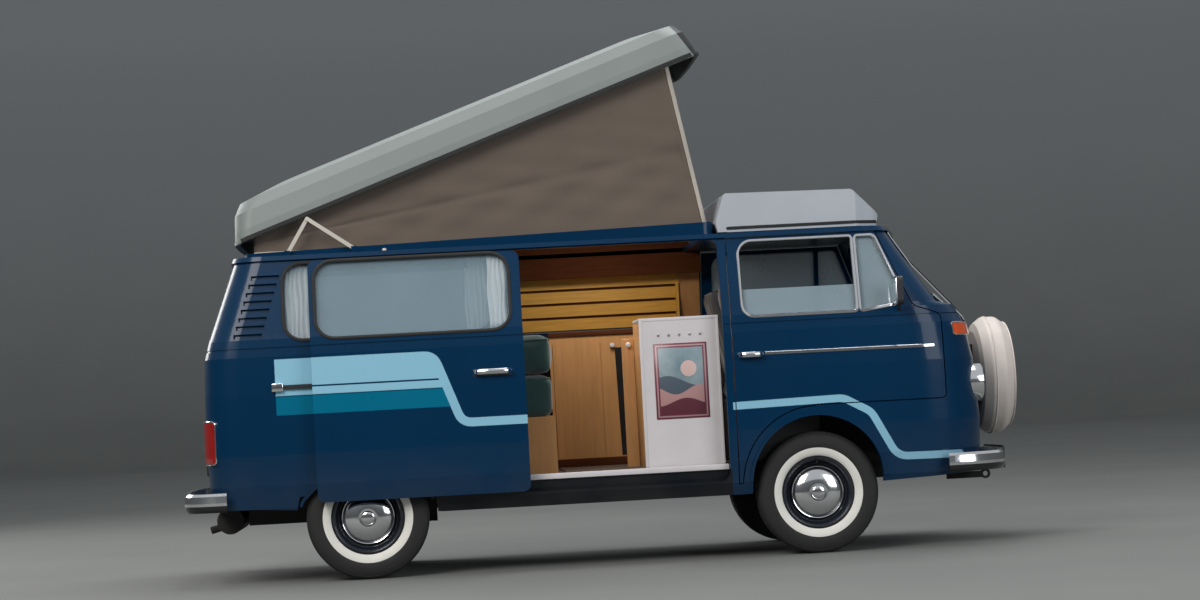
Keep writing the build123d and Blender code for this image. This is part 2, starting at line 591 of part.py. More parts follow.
axle = []
for s in (-1, 1):
    axle.append(cyl_y(26, REAR_AXLE, WHEEL_Z, s * 180, s * (TRACK_R / 2 - 64)))
    axle.append(cyl_y(118, REAR_AXLE, WHEEL_Z, s * (TRACK_R / 2 - 88), s * (TRACK_R / 2 - 14)))
    axle.append(prism_y([(REAR_AXLE - 40, 290), (REAR_AXLE + 560, 372), (REAR_AXLE + 560, 412),
                         (REAR_AXLE - 40, 352)], *sorted((s * 470, s * 530))))
    axle.append(box(REAR_AXLE - 36, REAR_AXLE + 36, *sorted((s * 525, s * (TRACK_R / 2 - 86))), 300, 350))
axle.append(cyl_y(58, REAR_AXLE + 560, 392, -300, -530) + cyl_y(58, REAR_AXLE + 560, 392, 300, 530))
axle.append(cyl_y(24, REAR_AXLE + 560, 392, -320, 320))
rear_axle = join(axle)
chassis_rails -= rear_axle

# engine and gearbox: one plain block, with the silencer behind
engine = box(-1960, -1420, -330, 330, 300, 720)
engine += cyl_x(118, 0, 345, -1430, -1180)
engine += cyl_x(88, 0, 345, -1190, -940)
silencer = cyl_y(72, -2062, 330, -330, 330)
silencer += rod((-1960, -180, 340), (-2010, -180, 332), 24) + rod((-1960, 180, 340), (-2010, 180, 332), 24)
silencer += rod((-2062, 250, 300), (-2215, 262, 262), 21)
engine_block = engine + silencer

# Wheels.
TYRE_R, RIM_R, TYRE_W = 325.0, 188.0, 185.0
TYRE = [(RIM_R, -66), (RIM_R + 14, -78, 8), (262, -92.5, 40), (306, -84, 14), (TYRE_R, -62, 14),
        (TYRE_R, 62, 14), (306, 84, 14), (262, 92.5, 40), (RIM_R + 14, 78, 8), (RIM_R, 66)]


def spun(pts, x, y, z, s):
    """Profile (radius, outward) turned about the wheel's axle."""
    w = outline_wire(pts, lambda a, b: (a, b, 0.0))
    f = Face(w)
    solid = Part() + revolve(f, Axis((0, 0, 0), (0, 1, 0)), 360)
    if s < 0:
        solid = mirror(solid, about=Plane.XZ)
    return Pos(x, y, z) * solid


HUBCAP = [(0.0, 46.0), (134, 46.0), (136, 52), (118, 68), (74, 82), (38, 86), (36, 92), (0.0, 92)]
WHEELS = [("front_right", FRONT_AXLE, -TRACK_F / 2, -1), ("front_left", FRONT_AXLE, TRACK_F / 2, 1),
          ("rear_right", REAR_AXLE, -TRACK_R / 2, -1), ("rear_left", REAR_AXLE, TRACK_R / 2, 1)]
wheel_parts = {}
RIM = [(0.0, 4), (100, 4), (140, 0), (158, -12), (RIM_R - 20, -40), (RIM_R - 20, -60),
       (RIM_R - 10, -74), (RIM_R - 0.4, -74), (RIM_R - 0.4, -62), (RIM_R - 13, -50),
       (RIM_R - 13, 50), (RIM_R - 0.4, 62), (RIM_R - 0.4, 76), (RIM_R - 10, 76), (RIM_R - 20, 62),
       (158, 34), (138, 44), (134, 46), (0.0, 46)]
for name, x, y, s in WHEELS:
    tyre = spun(TYRE, x, y, WHEEL_Z, s)
    rim = spun(RIM, x, y, WHEEL_Z, s)
    cap = spun(HUBCAP, x, y, WHEEL_Z, s)
    wheel_parts["tyre_" + name] = tyre
    wheel_parts["wheel_" + name] = rim + cap

# Bumpers, spare wheel.
BUMPER_KEYS = ("half", "rear", "front", "rear_bow", "front_bow", "rear_r", "front_r")
BUMPER_F = dict(zip(BUMPER_KEYS, (884.0, -2000.0, 2200.0, 45.0, 120.0, 100.0, 330.0)))
BUMPER_R = dict(zip(BUMPER_KEYS, (884.0, -2305.0, 2000.0, 60.0, 120.0, 180.0, 300.0)))
BUMPER_SECTION = [(396.0, 15.0), (410.0, 4.0), (446.0, 0.0), (482.0, 4.0), (496.0, 15.0)]
BUMPER_T = 30.0


def bumper(outline_row, reach, irons):
    """Bent bar with a rounded section, on two irons."""
    wires = []
    for z, t in BUMPER_SECTION:
        wires.append(outline_wire(inset(plan(outline_row), t), lambda a, b, z=z: (a, b, z)))
    bar = Part() + Solid.make_loft(wires, ruled=True)
    bar -= prism_z(inset(plan(outline_row), BUMPER_T), 300, 600)
    bar &= box(*reach, -1000, 1000, 300, 600)
    return join([bar] + [box(*irons, s * 330 - 22, s * 330 + 22, 432, 458) for s in (-1, 1)]) - body_out


front_bumper = bumper(BUMPER_F, (1790, 2400), (2040, 2176))
rear_bumper = bumper(BUMPER_R, (-2400, -2035), (-2280, -2130))

SPARE = dict(z=902.0, r=327.0, x0=2112.0, x1=2305.0)
cover_pts = [(0.0, SPARE["x0"]), (250, SPARE["x0"]), (292, SPARE["x0"] + 14),
             (SPARE["r"], SPARE["x0"] + 60, 30), (SPARE["r"], SPARE["x1"] - 62, 40),
             (290, SPARE["x1"] - 12, 30), (214, SPARE["x1"], 20), (0.0, SPARE["x1"])]
cw = Face(outline_wire(cover_pts, lambda a, b: (b, 0.0, a)))
spare_wheel_cover = Pos(0, 0, SPARE["z"]) * (Part() + revolve(cw, Axis((0, 0, 0), (1, 0, 0)), 360))
spare_wheel_carrier = join([
    box(2050, 2112, -34, 34, 720, 1080) - hull(BODY, -0.5, 600, 1190),
    box(2060, 2112, -240, 240, 760, 790) - hull(BODY, -0.5, 600, 1190),
    box(2092, 2112, -34, 34, 452, 740),
    box(2092, 2166, -34, 34, 452, 476)])

# Lamps and grille.
HEAD = dict(y=604.0, z=868.0, r=98.0)
HEAD_PTS = [(0.0, 1950), (HEAD["r"] - 14, 1950), (HEAD["r"], 1964), (HEAD["r"], 2026), (HEAD["r"] - 6, 2036),
            (HEAD["r"] - 14, 2028), (60, 2042), (30, 2048), (0.0, 2050)]
heads = []
for s in (-1, 1):
    hw = Face(outline_wire(HEAD_PTS, lambda a, b: (b, 0.0, a)))
    heads.append(Pos(0, s * HEAD["y"], HEAD["z"]) * (Part() + revolve(hw, Axis((0, 0, 0), (1, 0, 0)), 360)))
headlamps = heads[0] + heads[1]
front_panel -= headlamps
lamp_skin = hull(BODY, -13.0, 1120, 1200) - hull(BODY, 0.0, 1110, 1210)
INDICATOR = dict(y0=612.0, y1=772.0, z0=1132.0, z1=1188.0)
one_lamp = box(1600, 2200, INDICATOR["y0"], INDICATOR["y1"], INDICATOR["z0"], INDICATOR["z1"])
front_indicators = lamp_skin & (one_lamp + mirror_y(one_lamp))
tail_skin = hull(BODY, -14.0, 640, 880) - hull(BODY, 0.0, 630, 890)
TAIL = dict(y0=690.0, y1=806.0, z0=652.0, z1=868.0)
one_lamp = box(-2400, -2040, TAIL["y0"], TAIL["y1"], TAIL["z0"], TAIL["z1"])
tail_lamps = tail_skin & (one_lamp + mirror_y(one_lamp))
ribs = []
RIB_COUNT = 6
for i in range(RIB_COUNT):
    z = 1141 + i * 14.0
    ribs.append(box(1900, 2200, -GRILLE_Y + 0.5, GRILLE_Y - 0.5, z, z + 6))
ribs += [box(1900, 2200, y - 4, y + 4, 1136.5, 1219.5) for y in (-426, -213, 0, 213, 426)]
front_grille = (hull(BODY, -2.0, 1130, 1226) - hull(BODY, 14.0, 1120, 1240)) & join(ribs)

# Slide rail and door arms.
slide_rail = box(-1740, -520, -872, -862, 1024, 1046)
slide_rail += box(-1752, -1740, -874, -846, 1018, 1052)
slide_rail += box(-1740, -520, -864, -840, 1031, 1039)
slide_rail -= body_out

# Interior.
DASH = [(1560, 1180, 30), (1560, 1060, 40), (1700, 1000), (1900, 1000), (1900, 1296), (1640, 1290, 40)]
dash = prism_y(DASH, -760, 760) & body_in & box(1000, 2200, -900, 900, 900, 1310)
dash_face = prism_y([(1560, 1180, 30), (1560, 1060, 40), (1640, 1030), (1640, 1290), (1600, 1288)], -756, 756)
dashboard = dash - box(1500, 1990, -790, 790, 980, 1270) + (dash_face & body_in)

STEER = dict(x=1350.0, y=390.0, z=1165.0, r=200.0, tilt=28.0)
wheel_ring = Torus(STEER["r"], 11)
spoke = Pos(STEER["r"] / 2, 0, -6) * Box(STEER["r"], 26, 8)
spokes = [Rot(0, 0, a) * spoke for a in (0, 90, 180, 270)]
hub = Cylinder(38, 30)
column = Pos(0, 0, -330) * Cylinder(20, 640)
steering_wheel = Pos(STEER["x"], STEER["y"], STEER["z"]) * Rot(0, -STEER["tilt"], 0) * join(
    [wheel_ring] + spokes + [hub] + [column])
steering_wheel -= box(0, 3000, 0, 900, 0, FLOOR_Z + 6)
dashboard -= Pos(STEER["x"], STEER["y"], STEER["z"]) * Rot(0, -STEER["tilt"], 0) * Pos(0, 0, -330) * \
    Cylinder(26, 700)


def seat(y):
    base = box(715, 1150, y - 230, y + 230, 786, 846)
    cushion = box(720, 1190, y - 250, y + 250, 846, 960)
    cushion = fillet(cushion.edges(), 30)
    back = Pos(760, y, 1220) * Rot(0, -12, 0) * Box(110, 500, 560)
    back = fillet(back.edges(), 34)
    return base + cushion + back


front_seats = seat(-400) + seat(400)
front_seats += box(700, 1160, -426, 426, FLOOR_Z, 786)

KITCHEN = dict(x0=-258.0, x1=600.0, y=250.0, z=1262.0)
kitchen_unit = hold & box(KITCHEN["x0"], KITCHEN["x1"], KITCHEN["y"], 900, FLOOR_Z, KITCHEN["z"])
for i in range(3):
    x = KITCHEN["x0"] + 16 + i * 272.0
    kitchen_unit -= box(x, x + 3, KITCHEN["y"] - 1, KITCHEN["y"] + 8, FLOOR_Z + 60, KITCHEN["z"] - 60)

# slatted blind inside the louvred window
slats = []
BLIND_COUNT = 5
for i in range(BLIND_COUNT):
    z = 1296 + i * 80.0
    lean = (z - 1296) * 0.222
    slats.append(box(-455, 545, 762 - lean, 772 - lean, z, z + 75))
slats += [box(x, x + 16, 744 - (1690 - 1296) * 0.11, 790, 1290, 1690) & hull(BODY, 52.0, 1285, 1695)
          for x in (-440, 520)]
slatted_blind = join(slats) & hull(BODY, 50.0, 1280, 1700)

CABINET = dict(x0=-910 + FRONT_AXLE, x1=-486 + FRONT_AXLE, y0=-752.0, y1=-330.0, z0=FLOOR_Z, z1=1300.0)
white_cabinet = box(CABINET["x0"], CABINET["x1"], CABINET["y0"], CABINET["y1"], CABINET["z0"], CABINET["z1"])
white_cabinet &= body_in

BENCH_FRONT = FRONT_AXLE - 1372.0
bench_base = box(-1144, BENCH_FRONT, -548, 548, FLOOR_Z, 806)
seat_cushion = fillet(box(-960, BENCH_FRONT + 12, -548, 548, 806.5, 1036).edges(), 30)
folded_pad = fillet(box(-640, BENCH_FRONT + 10, -546, 546, 1040, 1252).edges(), 30)
back_cushion = fillet(box(-1146, -966, -548, 548, 823, 1240).edges(), 30)
rear_deck_pad = fillet(box(-2060, -1156, -540, 540, 822.5, 910).edges(), 25)
bench_cushions = join([seat_cushion, folded_pad, back_cushion, rear_deck_pad])

# Write.
NODES = {
    "side_panel_right": side_panel_right, "side_panel_left": side_panel_left,
    "front_panel": front_panel, "rear_panel": rear_panel, "roof_panel": roof_panel,
    "wheel_housings": wheel_housings, "engine_deck": engine_deck, "toe_board": toe_board,
    "floor_pan": floor_pan, "chassis_rails": chassis_rails,
    "cab_door_right": cab_door_right, "cab_door_left": cab_door_left,
    "mirror_right": mirror_right, "mirror_left": mirror_left,
    "cab_glass_right": cab_glass_right, "cab_glass_left": cab_glass_left,
    "sliding_door": sliding_door, "sliding_door_glass": sliding_glass, "slide_rail": slide_rail,
    "tailgate": tailgate, "tailgate_glass": tailgate_glass, "engine_lid": engine_lid,
    "windscreen": windscreen, "side_glass_right": window_right, "side_glass_left": window_left,
    "roof_shell": roof_shell, "roof_canvas": roof_canvas,
    "roof_stay_rear": roof_stay_rear, "roof_stay_front": roof_stay_front,
    "luggage_tray": luggage_tray,
    "front_bumper": front_bumper, "rear_bumper": rear_bumper,
    "spare_wheel_cover": spare_wheel_cover, "spare_wheel_carrier": spare_wheel_carrier,
    "headlamps": headlamps, "front_indicators": front_indicators, "tail_lamps": tail_lamps,
    "front_grille": front_grille,
    "dashboard": dashboard, "steering_wheel": steering_wheel, "front_seats": front_seats,
    "kitchen_unit": kitchen_unit, "slatted_blind": slatted_blind, "white_cabinet": white_cabinet,
    "bench_base": bench_base, "bench_cushions": bench_cushions,
    "front_axle_beam": front_axle_beam, "knuckle_left": knuckle_left, "knuckle_right": knuckle_right,
    "rear_axle": rear_axle, "engine_block": engine_block,
}
NODES.update(wheel_parts)
for name, part in NODES.items():
    export_step(part, "parts/" + name + ".step")
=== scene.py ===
import math

import bmesh
import bpy
from mathutils import Matrix, Vector
from mathutils.bvhtree import BVHTree


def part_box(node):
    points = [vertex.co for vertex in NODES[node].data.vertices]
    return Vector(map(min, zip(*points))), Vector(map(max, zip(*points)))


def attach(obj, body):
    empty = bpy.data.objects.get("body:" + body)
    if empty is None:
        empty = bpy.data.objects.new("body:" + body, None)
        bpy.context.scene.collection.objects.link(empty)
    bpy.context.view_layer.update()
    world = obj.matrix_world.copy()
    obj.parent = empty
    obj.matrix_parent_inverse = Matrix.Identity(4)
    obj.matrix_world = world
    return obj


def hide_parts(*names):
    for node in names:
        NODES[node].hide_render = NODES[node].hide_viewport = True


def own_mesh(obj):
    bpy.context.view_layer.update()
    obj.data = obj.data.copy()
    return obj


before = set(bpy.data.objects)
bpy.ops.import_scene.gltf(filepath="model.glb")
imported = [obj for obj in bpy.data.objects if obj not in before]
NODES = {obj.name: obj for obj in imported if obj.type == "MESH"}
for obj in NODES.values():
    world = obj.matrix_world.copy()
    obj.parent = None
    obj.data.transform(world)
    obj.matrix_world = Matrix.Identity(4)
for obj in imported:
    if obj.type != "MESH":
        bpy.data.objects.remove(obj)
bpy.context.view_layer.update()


# Places in metres, read from the frame.
def middle(node):
    low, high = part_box(node)
    return (low + high) / 2


FRONT_AXLE_X = middle("tyre_front_right").x
SIDES = ((-1, "right"), (1, "left"))
X, Y, Z = Vector((1, 0, 0)), Vector((0, 1, 0)), Vector((0, 0, 1))


def shares(steps):
    """Even steps from 0 to 1."""
    return [k / steps for k in range(steps + 1)]


# Colours are linear, given as the screen colour they look like.
def srgb(*screen):
    """Linear colour of a screen colour of 0 to 255."""
    parts = [v / 255 for v in screen]
    return tuple(v / 12.92 if v <= 0.04045 else ((v + 0.055) / 1.055) ** 2.4 for v in parts)


def tint(color, share):
    """The colour made darker or lighter."""
    return tuple(min(1.0, c * share) for c in color)


BLUE = srgb(0, 44, 75)
LIGHT_BLUE = srgb(136, 186, 208)
TEAL = srgb(0, 104, 134)
# painted shade for the recessed sill
SILL_SHADE = (0.006, 0.009, 0.014)
DUST = srgb(110, 102, 92)
SHELL_GREY = srgb(122, 129, 127)
NOSE_SHADE = (0.015, 0.016, 0.017)
BURGUNDY = srgb(112, 44, 62)


# Materials.
SOCKETS = {"color": "Base Color", "rough": "Roughness", "metallic": "Metallic", "alpha": "Alpha",
           "specular": "Specular IOR Level", "coat": "Coat Weight", "coat_rough": "Coat Roughness",
           "sheen": "Sheen Weight"}
EDGE = 0.0012  # half the width of a soft edge


class Surface:
    """A material and the nodes that give it its look."""

    def __init__(self, name):
        self.name = name
        self.mat = bpy.data.materials.new(name)
        self.mat.use_nodes = True
        self.tree = self.mat.node_tree
        self.base = None

    def feed(self, socket, value):
        """Link the value to a socket, or set the socket where the value is plain."""
        if isinstance(value, bpy.types.NodeSocket):
            self.tree.links.new(value, socket)
        elif isinstance(value, (int, float)):
            socket.default_value = value
        else:
            socket.default_value = (*value, 1.0)[:len(socket.default_value)]

    def shade(self, **looks):
        """Set the surface's own inputs."""
        bsdf = self.tree.nodes["Principled BSDF"]
        for key, value in looks.items():
            self.feed(bsdf.inputs[SOCKETS[key]], value)
        self.base = looks.get("color", self.base)
        return self

    def cover(self, share, color):
        """Lay a colour over the base where share is 1."""
        return self.shade(color=self.mix(share, self.base, color))

    def node(self, kind, inputs, **settings):
        node = self.tree.nodes.new(kind)
        for key, value in settings.items():
            setattr(node, key, value)
        for key, value in inputs.items():
            self.feed(node.inputs[key], value)
        return node

    def calc(self, op, *values, clamp=False):
        return self.node("ShaderNodeMath", dict(enumerate(values)), operation=op, use_clamp=clamp).outputs[0]

    def times(self, product, *others):
        for value in others:
            product = self.calc("MULTIPLY", product, value)
        return product

    def vector(self, op, *values, **inputs):
        node = self.node("ShaderNodeVectorMath", {**dict(enumerate(values)), **inputs}, operation=op)
        return node.outputs["Value" if op in ("DOT_PRODUCT", "LENGTH") else "Vector"]

    def position(self):
        return self.node("ShaderNodeTexCoord", {}).outputs["Object"]

    def axes(self):
        """The position's x, y and z."""
        return tuple(self.node("ShaderNodeSeparateXYZ", {0: self.position()}).outputs)

    def mix(self, share, a, b):
        return self.node("ShaderNodeMix", {0: share, 6: a, 7: b}, data_type="RGBA").outputs[2]

    def spread(self, value, lo, hi, out_lo=0.0, out_hi=1.0):
        inputs = {"Value": value, "From Min": lo, "From Max": hi, "To Min": out_lo, "To Max": out_hi}
        return self.node("ShaderNodeMapRange", inputs, clamp=True).outputs["Result"]

    def below(self, value, limit):
        """1 where value is under limit, with a soft edge."""
        return self.spread(value, limit - EDGE, limit + EDGE, 1.0, 0.0)

    def above(self, value, limit):
        """1 where value is over limit, with a soft edge."""
        return self.spread(value, limit - EDGE, limit + EDGE)

    def noise(self, scale, detail=4.0, rough=0.55, stretch=(1, 1, 1)):
        place = self.vector("MULTIPLY", self.position(), stretch)
        inputs = {"Scale": scale, "Detail": detail, "Roughness": rough, "Vector": place}
        return self.node("ShaderNodeTexNoise", inputs).outputs["Fac"]

    def tone(self, scale, out_lo=0.0, out_hi=1.0, detail=4.0):
        """Cloudy drift from one value to another."""
        return self.spread(self.noise(scale, detail), 0.3, 0.7, out_lo, out_hi)

    def bump(self, height, strength, distance):
        inputs = {"Strength": strength, "Distance": distance, "Height": height}
        normal = self.node("ShaderNodeBump", inputs).outputs["Normal"]
        self.feed(self.tree.nodes["Principled BSDF"].inputs["Normal"], normal)

    def distance(self, flat, points):
        """Distance in the side view from a run of straight pieces."""
        best = None
        for (ax, az), (bx, bz) in zip(points, points[1:]):
            run = Vector((bx - ax, 0, bz - az))
            rel = self.vector("SUBTRACT", flat, (ax, 0, az))
            along = self.vector("DOT_PRODUCT", rel, run)
            t = self.calc("MULTIPLY", along, 1 / run.length_squared, clamp=True)
            off = self.vector("LENGTH", self.vector("SUBTRACT", rel, self.vector("SCALE", run, Scale=t)))
            best = off if best is None else self.calc("MINIMUM", best, off)
        return best


def plain(name, color, rough=0.5, metallic=0.0, vary=0.12, scale=9.0, bump=0.0, bump_scale=300.0, coat=0.0):
    """Surface with a little drift in tone and roughness and, if asked, a fine grain."""
    s = Surface(name)
    s.shade(color=s.mix(s.tone(scale), tint(color, 1 - vary), tint(color, 1 + vary)),
            rough=s.tone(scale, 0.9 * rough, min(1.0, 1.1 * rough)), metallic=metallic)
    if coat:
        s.shade(coat=coat, coat_rough=0.06)
    if bump:
        s.bump(s.noise(bump_scale, 3.0), bump, 0.002)
    return s


def rounded_path(points, radius, steps=5):
    """The points with each inner corner turned on an arc."""
    out = [points[0]]
    for a, p, b in zip(points, points[1:], points[2:]):
        a, p, b = Vector(a), Vector(p), Vector(b)
        u, v = (a - p).normalized(), (b - p).normalized()
        t = min(radius / math.tan(u.angle(v) / 2), 0.45 * (a - p).length, 0.45 * (b - p).length)
        for k in shares(steps):
            out.append(tuple((p + u * t) * (1 - k) ** 2 + p * 2 * k * (1 - k) + (p + v * t) * k * k))
    return out + [points[-1]]


# Stripe layout in the side view; the sliding door carries its part back with it.
SLIDE_BACK = 1.059
DOORWAY_REAR = -0.505
BAND_END_X = FRONT_AXLE_X - 2.849
BAND_TOP = 1.160
WIDE = (1.039, 1.183)
TEAL_BAND = (0.888, 0.985)
THIN_Z, THIN_W = 1.010, 0.040
LOW_Z = 0.800
SWEEP_W, SWEEP_TURN = 0.046, 0.075
SWEEP_TOP_X, SWEEP_FOOT_X = -0.916, -0.784
SLANT = (SWEEP_TOP_X - SWEEP_FOOT_X) / (BAND_TOP - LOW_Z)
CAB_TURN = 0.10
CAB_PATH = [(FRONT_AXLE_X + dx, z) for dx, z in
            ((-0.440, 0.808), (0.150, 0.820), (0.295, 0.740), (0.425, 0.495), (0.775, 0.491))]
SLID_DOOR_END_X = -0.3
SILL_Z = 0.474
SILL_X = (-0.975, 0.635)
STRIPES_OUTSIDE_Y = 0.830
STRIPES_OUTSIDE_TO_X = 0.640


def sweep_x(z, shift):
    """Middle of the slanting band at a height."""
    return SWEEP_FOOT_X + shift + SLANT * (z - LOW_Z)


def stripe_layers(kind):
    """Bands as (slanted front end or none, z from, z to, colour), and paths as (points, width)."""
    bands, paths = [], []
    if kind == "quarter":
        bands = [(None, *WIDE, LIGHT_BLUE), (None, *TEAL_BAND, TEAL)]
        paths.append(([(BAND_END_X, THIN_Z), (DOORWAY_REAR, THIN_Z)], THIN_W))
    if kind in ("slid_door", "left"):
        shift, end = (SLIDE_BACK, CAB_PATH[0][0]) if kind == "left" else (0.0, SLID_DOOR_END_X)
        bands = [(shift, WIDE[0], BAND_TOP, LIGHT_BLUE), (shift, *TEAL_BAND, TEAL)]
        top = [(BAND_END_X, BAND_TOP), (sweep_x(BAND_TOP, shift), BAND_TOP), (sweep_x(LOW_Z, shift), LOW_Z),
               (end, LOW_Z)]
        paths.append((rounded_path(top, SWEEP_TURN), SWEEP_W))
        paths.append(([(BAND_END_X, THIN_Z), (sweep_x(THIN_Z, shift), THIN_Z)], THIN_W))
    if kind in ("cab", "left", "quarter"):
        paths.append((rounded_path(CAB_PATH, CAB_TURN), THIN_W))
    return bands, paths


def paint(name, kind=None):
    """Old gloss paint with its stripes, dust low down, painted shade on the right side's recessed sill and a
    faint wave in the panel.
    """
    s = Surface(name)
    x, y, z = s.axes()
    flat = s.vector("MULTIPLY", s.position(), (1, 0, 1))
    s.shade(color=s.mix(s.tone(1.3), tint(BLUE, 0.93), tint(BLUE, 1.07)))
    bare = s.base
    bands, paths = stripe_layers(kind)
    for shift, z0, z1, color in bands:
        if shift is None:
            inside = s.below(x, DOORWAY_REAR)
        else:
            # the front end leans back towards the top
            lean = s.calc("MULTIPLY_ADD", s.calc("SUBTRACT", z, LOW_Z), -SLANT, x)
            inside = s.below(lean, SWEEP_FOOT_X + shift)
        s.cover(s.times(inside, s.below(z, z1), s.above(z, z0), s.above(x, BAND_END_X)), color)
    for points, width in paths:
        on = s.below(s.distance(flat, points), width / 2)
        s.cover(s.times(on, s.above(x, points[0][0])), LIGHT_BLUE)
    if kind in ("left", "quarter"):
        # the inner face of the wall has no stripes
        outer = s.above(s.calc("ABSOLUTE", y), STRIPES_OUTSIDE_Y)
        ahead = s.above(x, STRIPES_OUTSIDE_TO_X)
        s.shade(color=s.mix(s.calc("MAXIMUM", outer, ahead), bare, s.base))
    if kind == "quarter":
        # painted shade: the recessed sill under the doorway and back towards the rear arch is darkened
        s.cover(s.times(s.below(z, SILL_Z), s.below(x, SILL_X[1]), s.above(x, SILL_X[0])), SILL_SHADE)
    dust = s.times(s.spread(z, 0.70, 0.34), s.spread(s.noise(3.0), 0.3, 0.75))
    s.cover(s.times(dust, 0.16), DUST)
    s.bump(s.noise(3.0, 2.0), 0.05, 0.02)
    rough = s.calc("MULTIPLY_ADD", dust, 0.22, s.tone(2.0, 0.26, 0.32))
    return s.shade(rough=rough, specular=0.12, coat=0.25, coat_rough=0.10)


def glass(name, color=(0.04, 0.07, 0.075), alpha=0.34):
    s = Surface(name)
    s.mat.surface_render_method = "BLENDED"
    return s.shade(color=s.mix(s.tone(4.0), tint(color, 0.9), color), rough=0.03, alpha=alpha, specular=0.9,
                   coat=1.0, coat_rough=0.02)


def wood(name, color, grain, dark=0.62, rough=0.42, coat=0.2):
    """Wood whose figure runs along the axis with the small stretch."""
    s = Surface(name)
    fine = s.noise(26.0, 3.0, 0.5, grain)
    broad = s.spread(s.noise(3.0, 8.0, 0.62, grain), 0.32, 0.68, 0.0, 0.8)
    figure = s.calc("MULTIPLY_ADD", fine, 0.3, broad)
    s.bump(fine, 0.15, 0.001)
    return s.shade(color=s.mix(figure, tint(color, dark), color), rough=rough, coat=coat, specular=coat)


def cloth(name, color, thread=0.004, sheen=0.3, drift=0.15):
    """Plain weave: crossed waves with a slow drift of tone."""
    s = Surface(name)
    waves = []
    for axis in ((1.0, 0.3, 0.0), (0.0, 0.3, 1.0)):
        along = s.vector("DOT_PRODUCT", s.position(), axis)
        wave = s.calc("SINE", s.times(along, math.pi / thread))
        waves.append(s.times(wave, wave))
    weave = s.calc("MAXIMUM", *waves)
    s.shade(color=s.mix(s.tone(3.5, detail=5.0), tint(color, 1 - drift), tint(color, 1 + drift)))
    s.cover(s.times(weave, 0.18), tint(color, 1.35))
    s.bump(weave, 0.5, 0.0006)
    return s.shade(rough=0.9, sheen=sheen)


ROOF_TILT = math.atan2(0.924, 2.568)
ROOF_FOOT = Vector((-1.952, 0, 1.801))
ROOF_ALONG = Vector((math.cos(ROOF_TILT), 0, math.sin(ROOF_TILT)))
ROOF_UP = Vector((-math.sin(ROOF_TILT), 0, math.cos(ROOF_TILT)))
STRIP_AT, STRIP_LEAN = 2.684, 0.25


def shell_paint(name):
    """Pale moulding with painted shade as a black strip over its front end, which leans back as the end does.
    """
    s = plain(name, SHELL_GREY, vary=0.04, scale=3.0, bump=0.06, bump_scale=180.0)
    from_foot = s.vector("SUBTRACT", s.position(), ROOF_FOOT)
    along = s.vector("DOT_PRODUCT", from_foot, ROOF_ALONG + ROOF_UP * STRIP_LEAN)
    # painted shade: the rounded front end is darkened as if turned away from the light
    return s.cover(s.above(along, STRIP_AT), NOSE_SHADE)


BUMPER_DARK_BELOW = 0.432


def bumper_chrome(name):
    """Bright bar whose underside is black."""
    s = plain(name, (0.82, 0.82, 0.83), 0.16, 1.0, vary=0.05, scale=5.0)
    z = s.axes()[2]
    s.shade(metallic=s.above(z, BUMPER_DARK_BELOW))
    return s.cover(s.below(z, BUMPER_DARK_BELOW), (0.012, 0.012, 0.013))


POSTER_X = (0.255, 0.540)
POSTER_Z = (0.757, 1.160)
SUN_U, SUN_V, SUN_R = 0.64, 0.66, 0.15
HILLS = [  # level, swing, turns, phase, colour
    (0.50, 0.07, 5.2, 0.4, srgb(76, 88, 100)), (0.38, 0.06, 7.0, 2.0, srgb(178, 137, 135)),
    (0.22, 0.05, 6.0, 4.4, srgb(98, 46, 60)),
]


def poster_paint(name):
    """Plain landscape of a round sun over rolling bands, in a burgundy border with a pale line."""
    s = Surface(name)
    x, _, z = s.axes()
    width, height = POSTER_X[1] - POSTER_X[0], POSTER_Z[1] - POSTER_Z[0]
    tall = height / width
    u = s.times(s.calc("SUBTRACT", x, POSTER_X[0]), 1 / width)
    v = s.times(s.calc("SUBTRACT", z, POSTER_Z[0]), 1 / height)
    s.shade(color=s.mix(s.tone(9.0), srgb(102, 124, 134), srgb(136, 153, 158)), rough=s.tone(6.0, 0.32, 0.42))
    du = s.calc("SUBTRACT", u, SUN_U)
    dv = s.times(s.calc("SUBTRACT", v, SUN_V), tall)
    off = s.calc("SQRT", s.calc("ADD", s.times(du, du), s.times(dv, dv)))
    s.cover(s.below(off, SUN_R), srgb(198, 168, 162))
    for level, swing, turns, phase, color in HILLS:
        wave = s.calc("SINE", s.calc("MULTIPLY_ADD", u, turns, phase))
        s.cover(s.below(s.calc("MULTIPLY_ADD", wave, -swing, v), level), color)
    in_u, in_v = [s.calc("SUBTRACT", 0.5, s.calc("ABSOLUTE", s.calc("SUBTRACT", w, 0.5))) for w in (u, v)]
    edge = s.calc("MINIMUM", in_u, s.times(in_v, tall))
    pale = s.times(s.below(edge, 0.058), s.spread(edge, 0.028, 0.032), 0.45)
    return s.cover(s.below(edge, 0.085), s.mix(pale, BURGUNDY, srgb(214, 190, 192)))


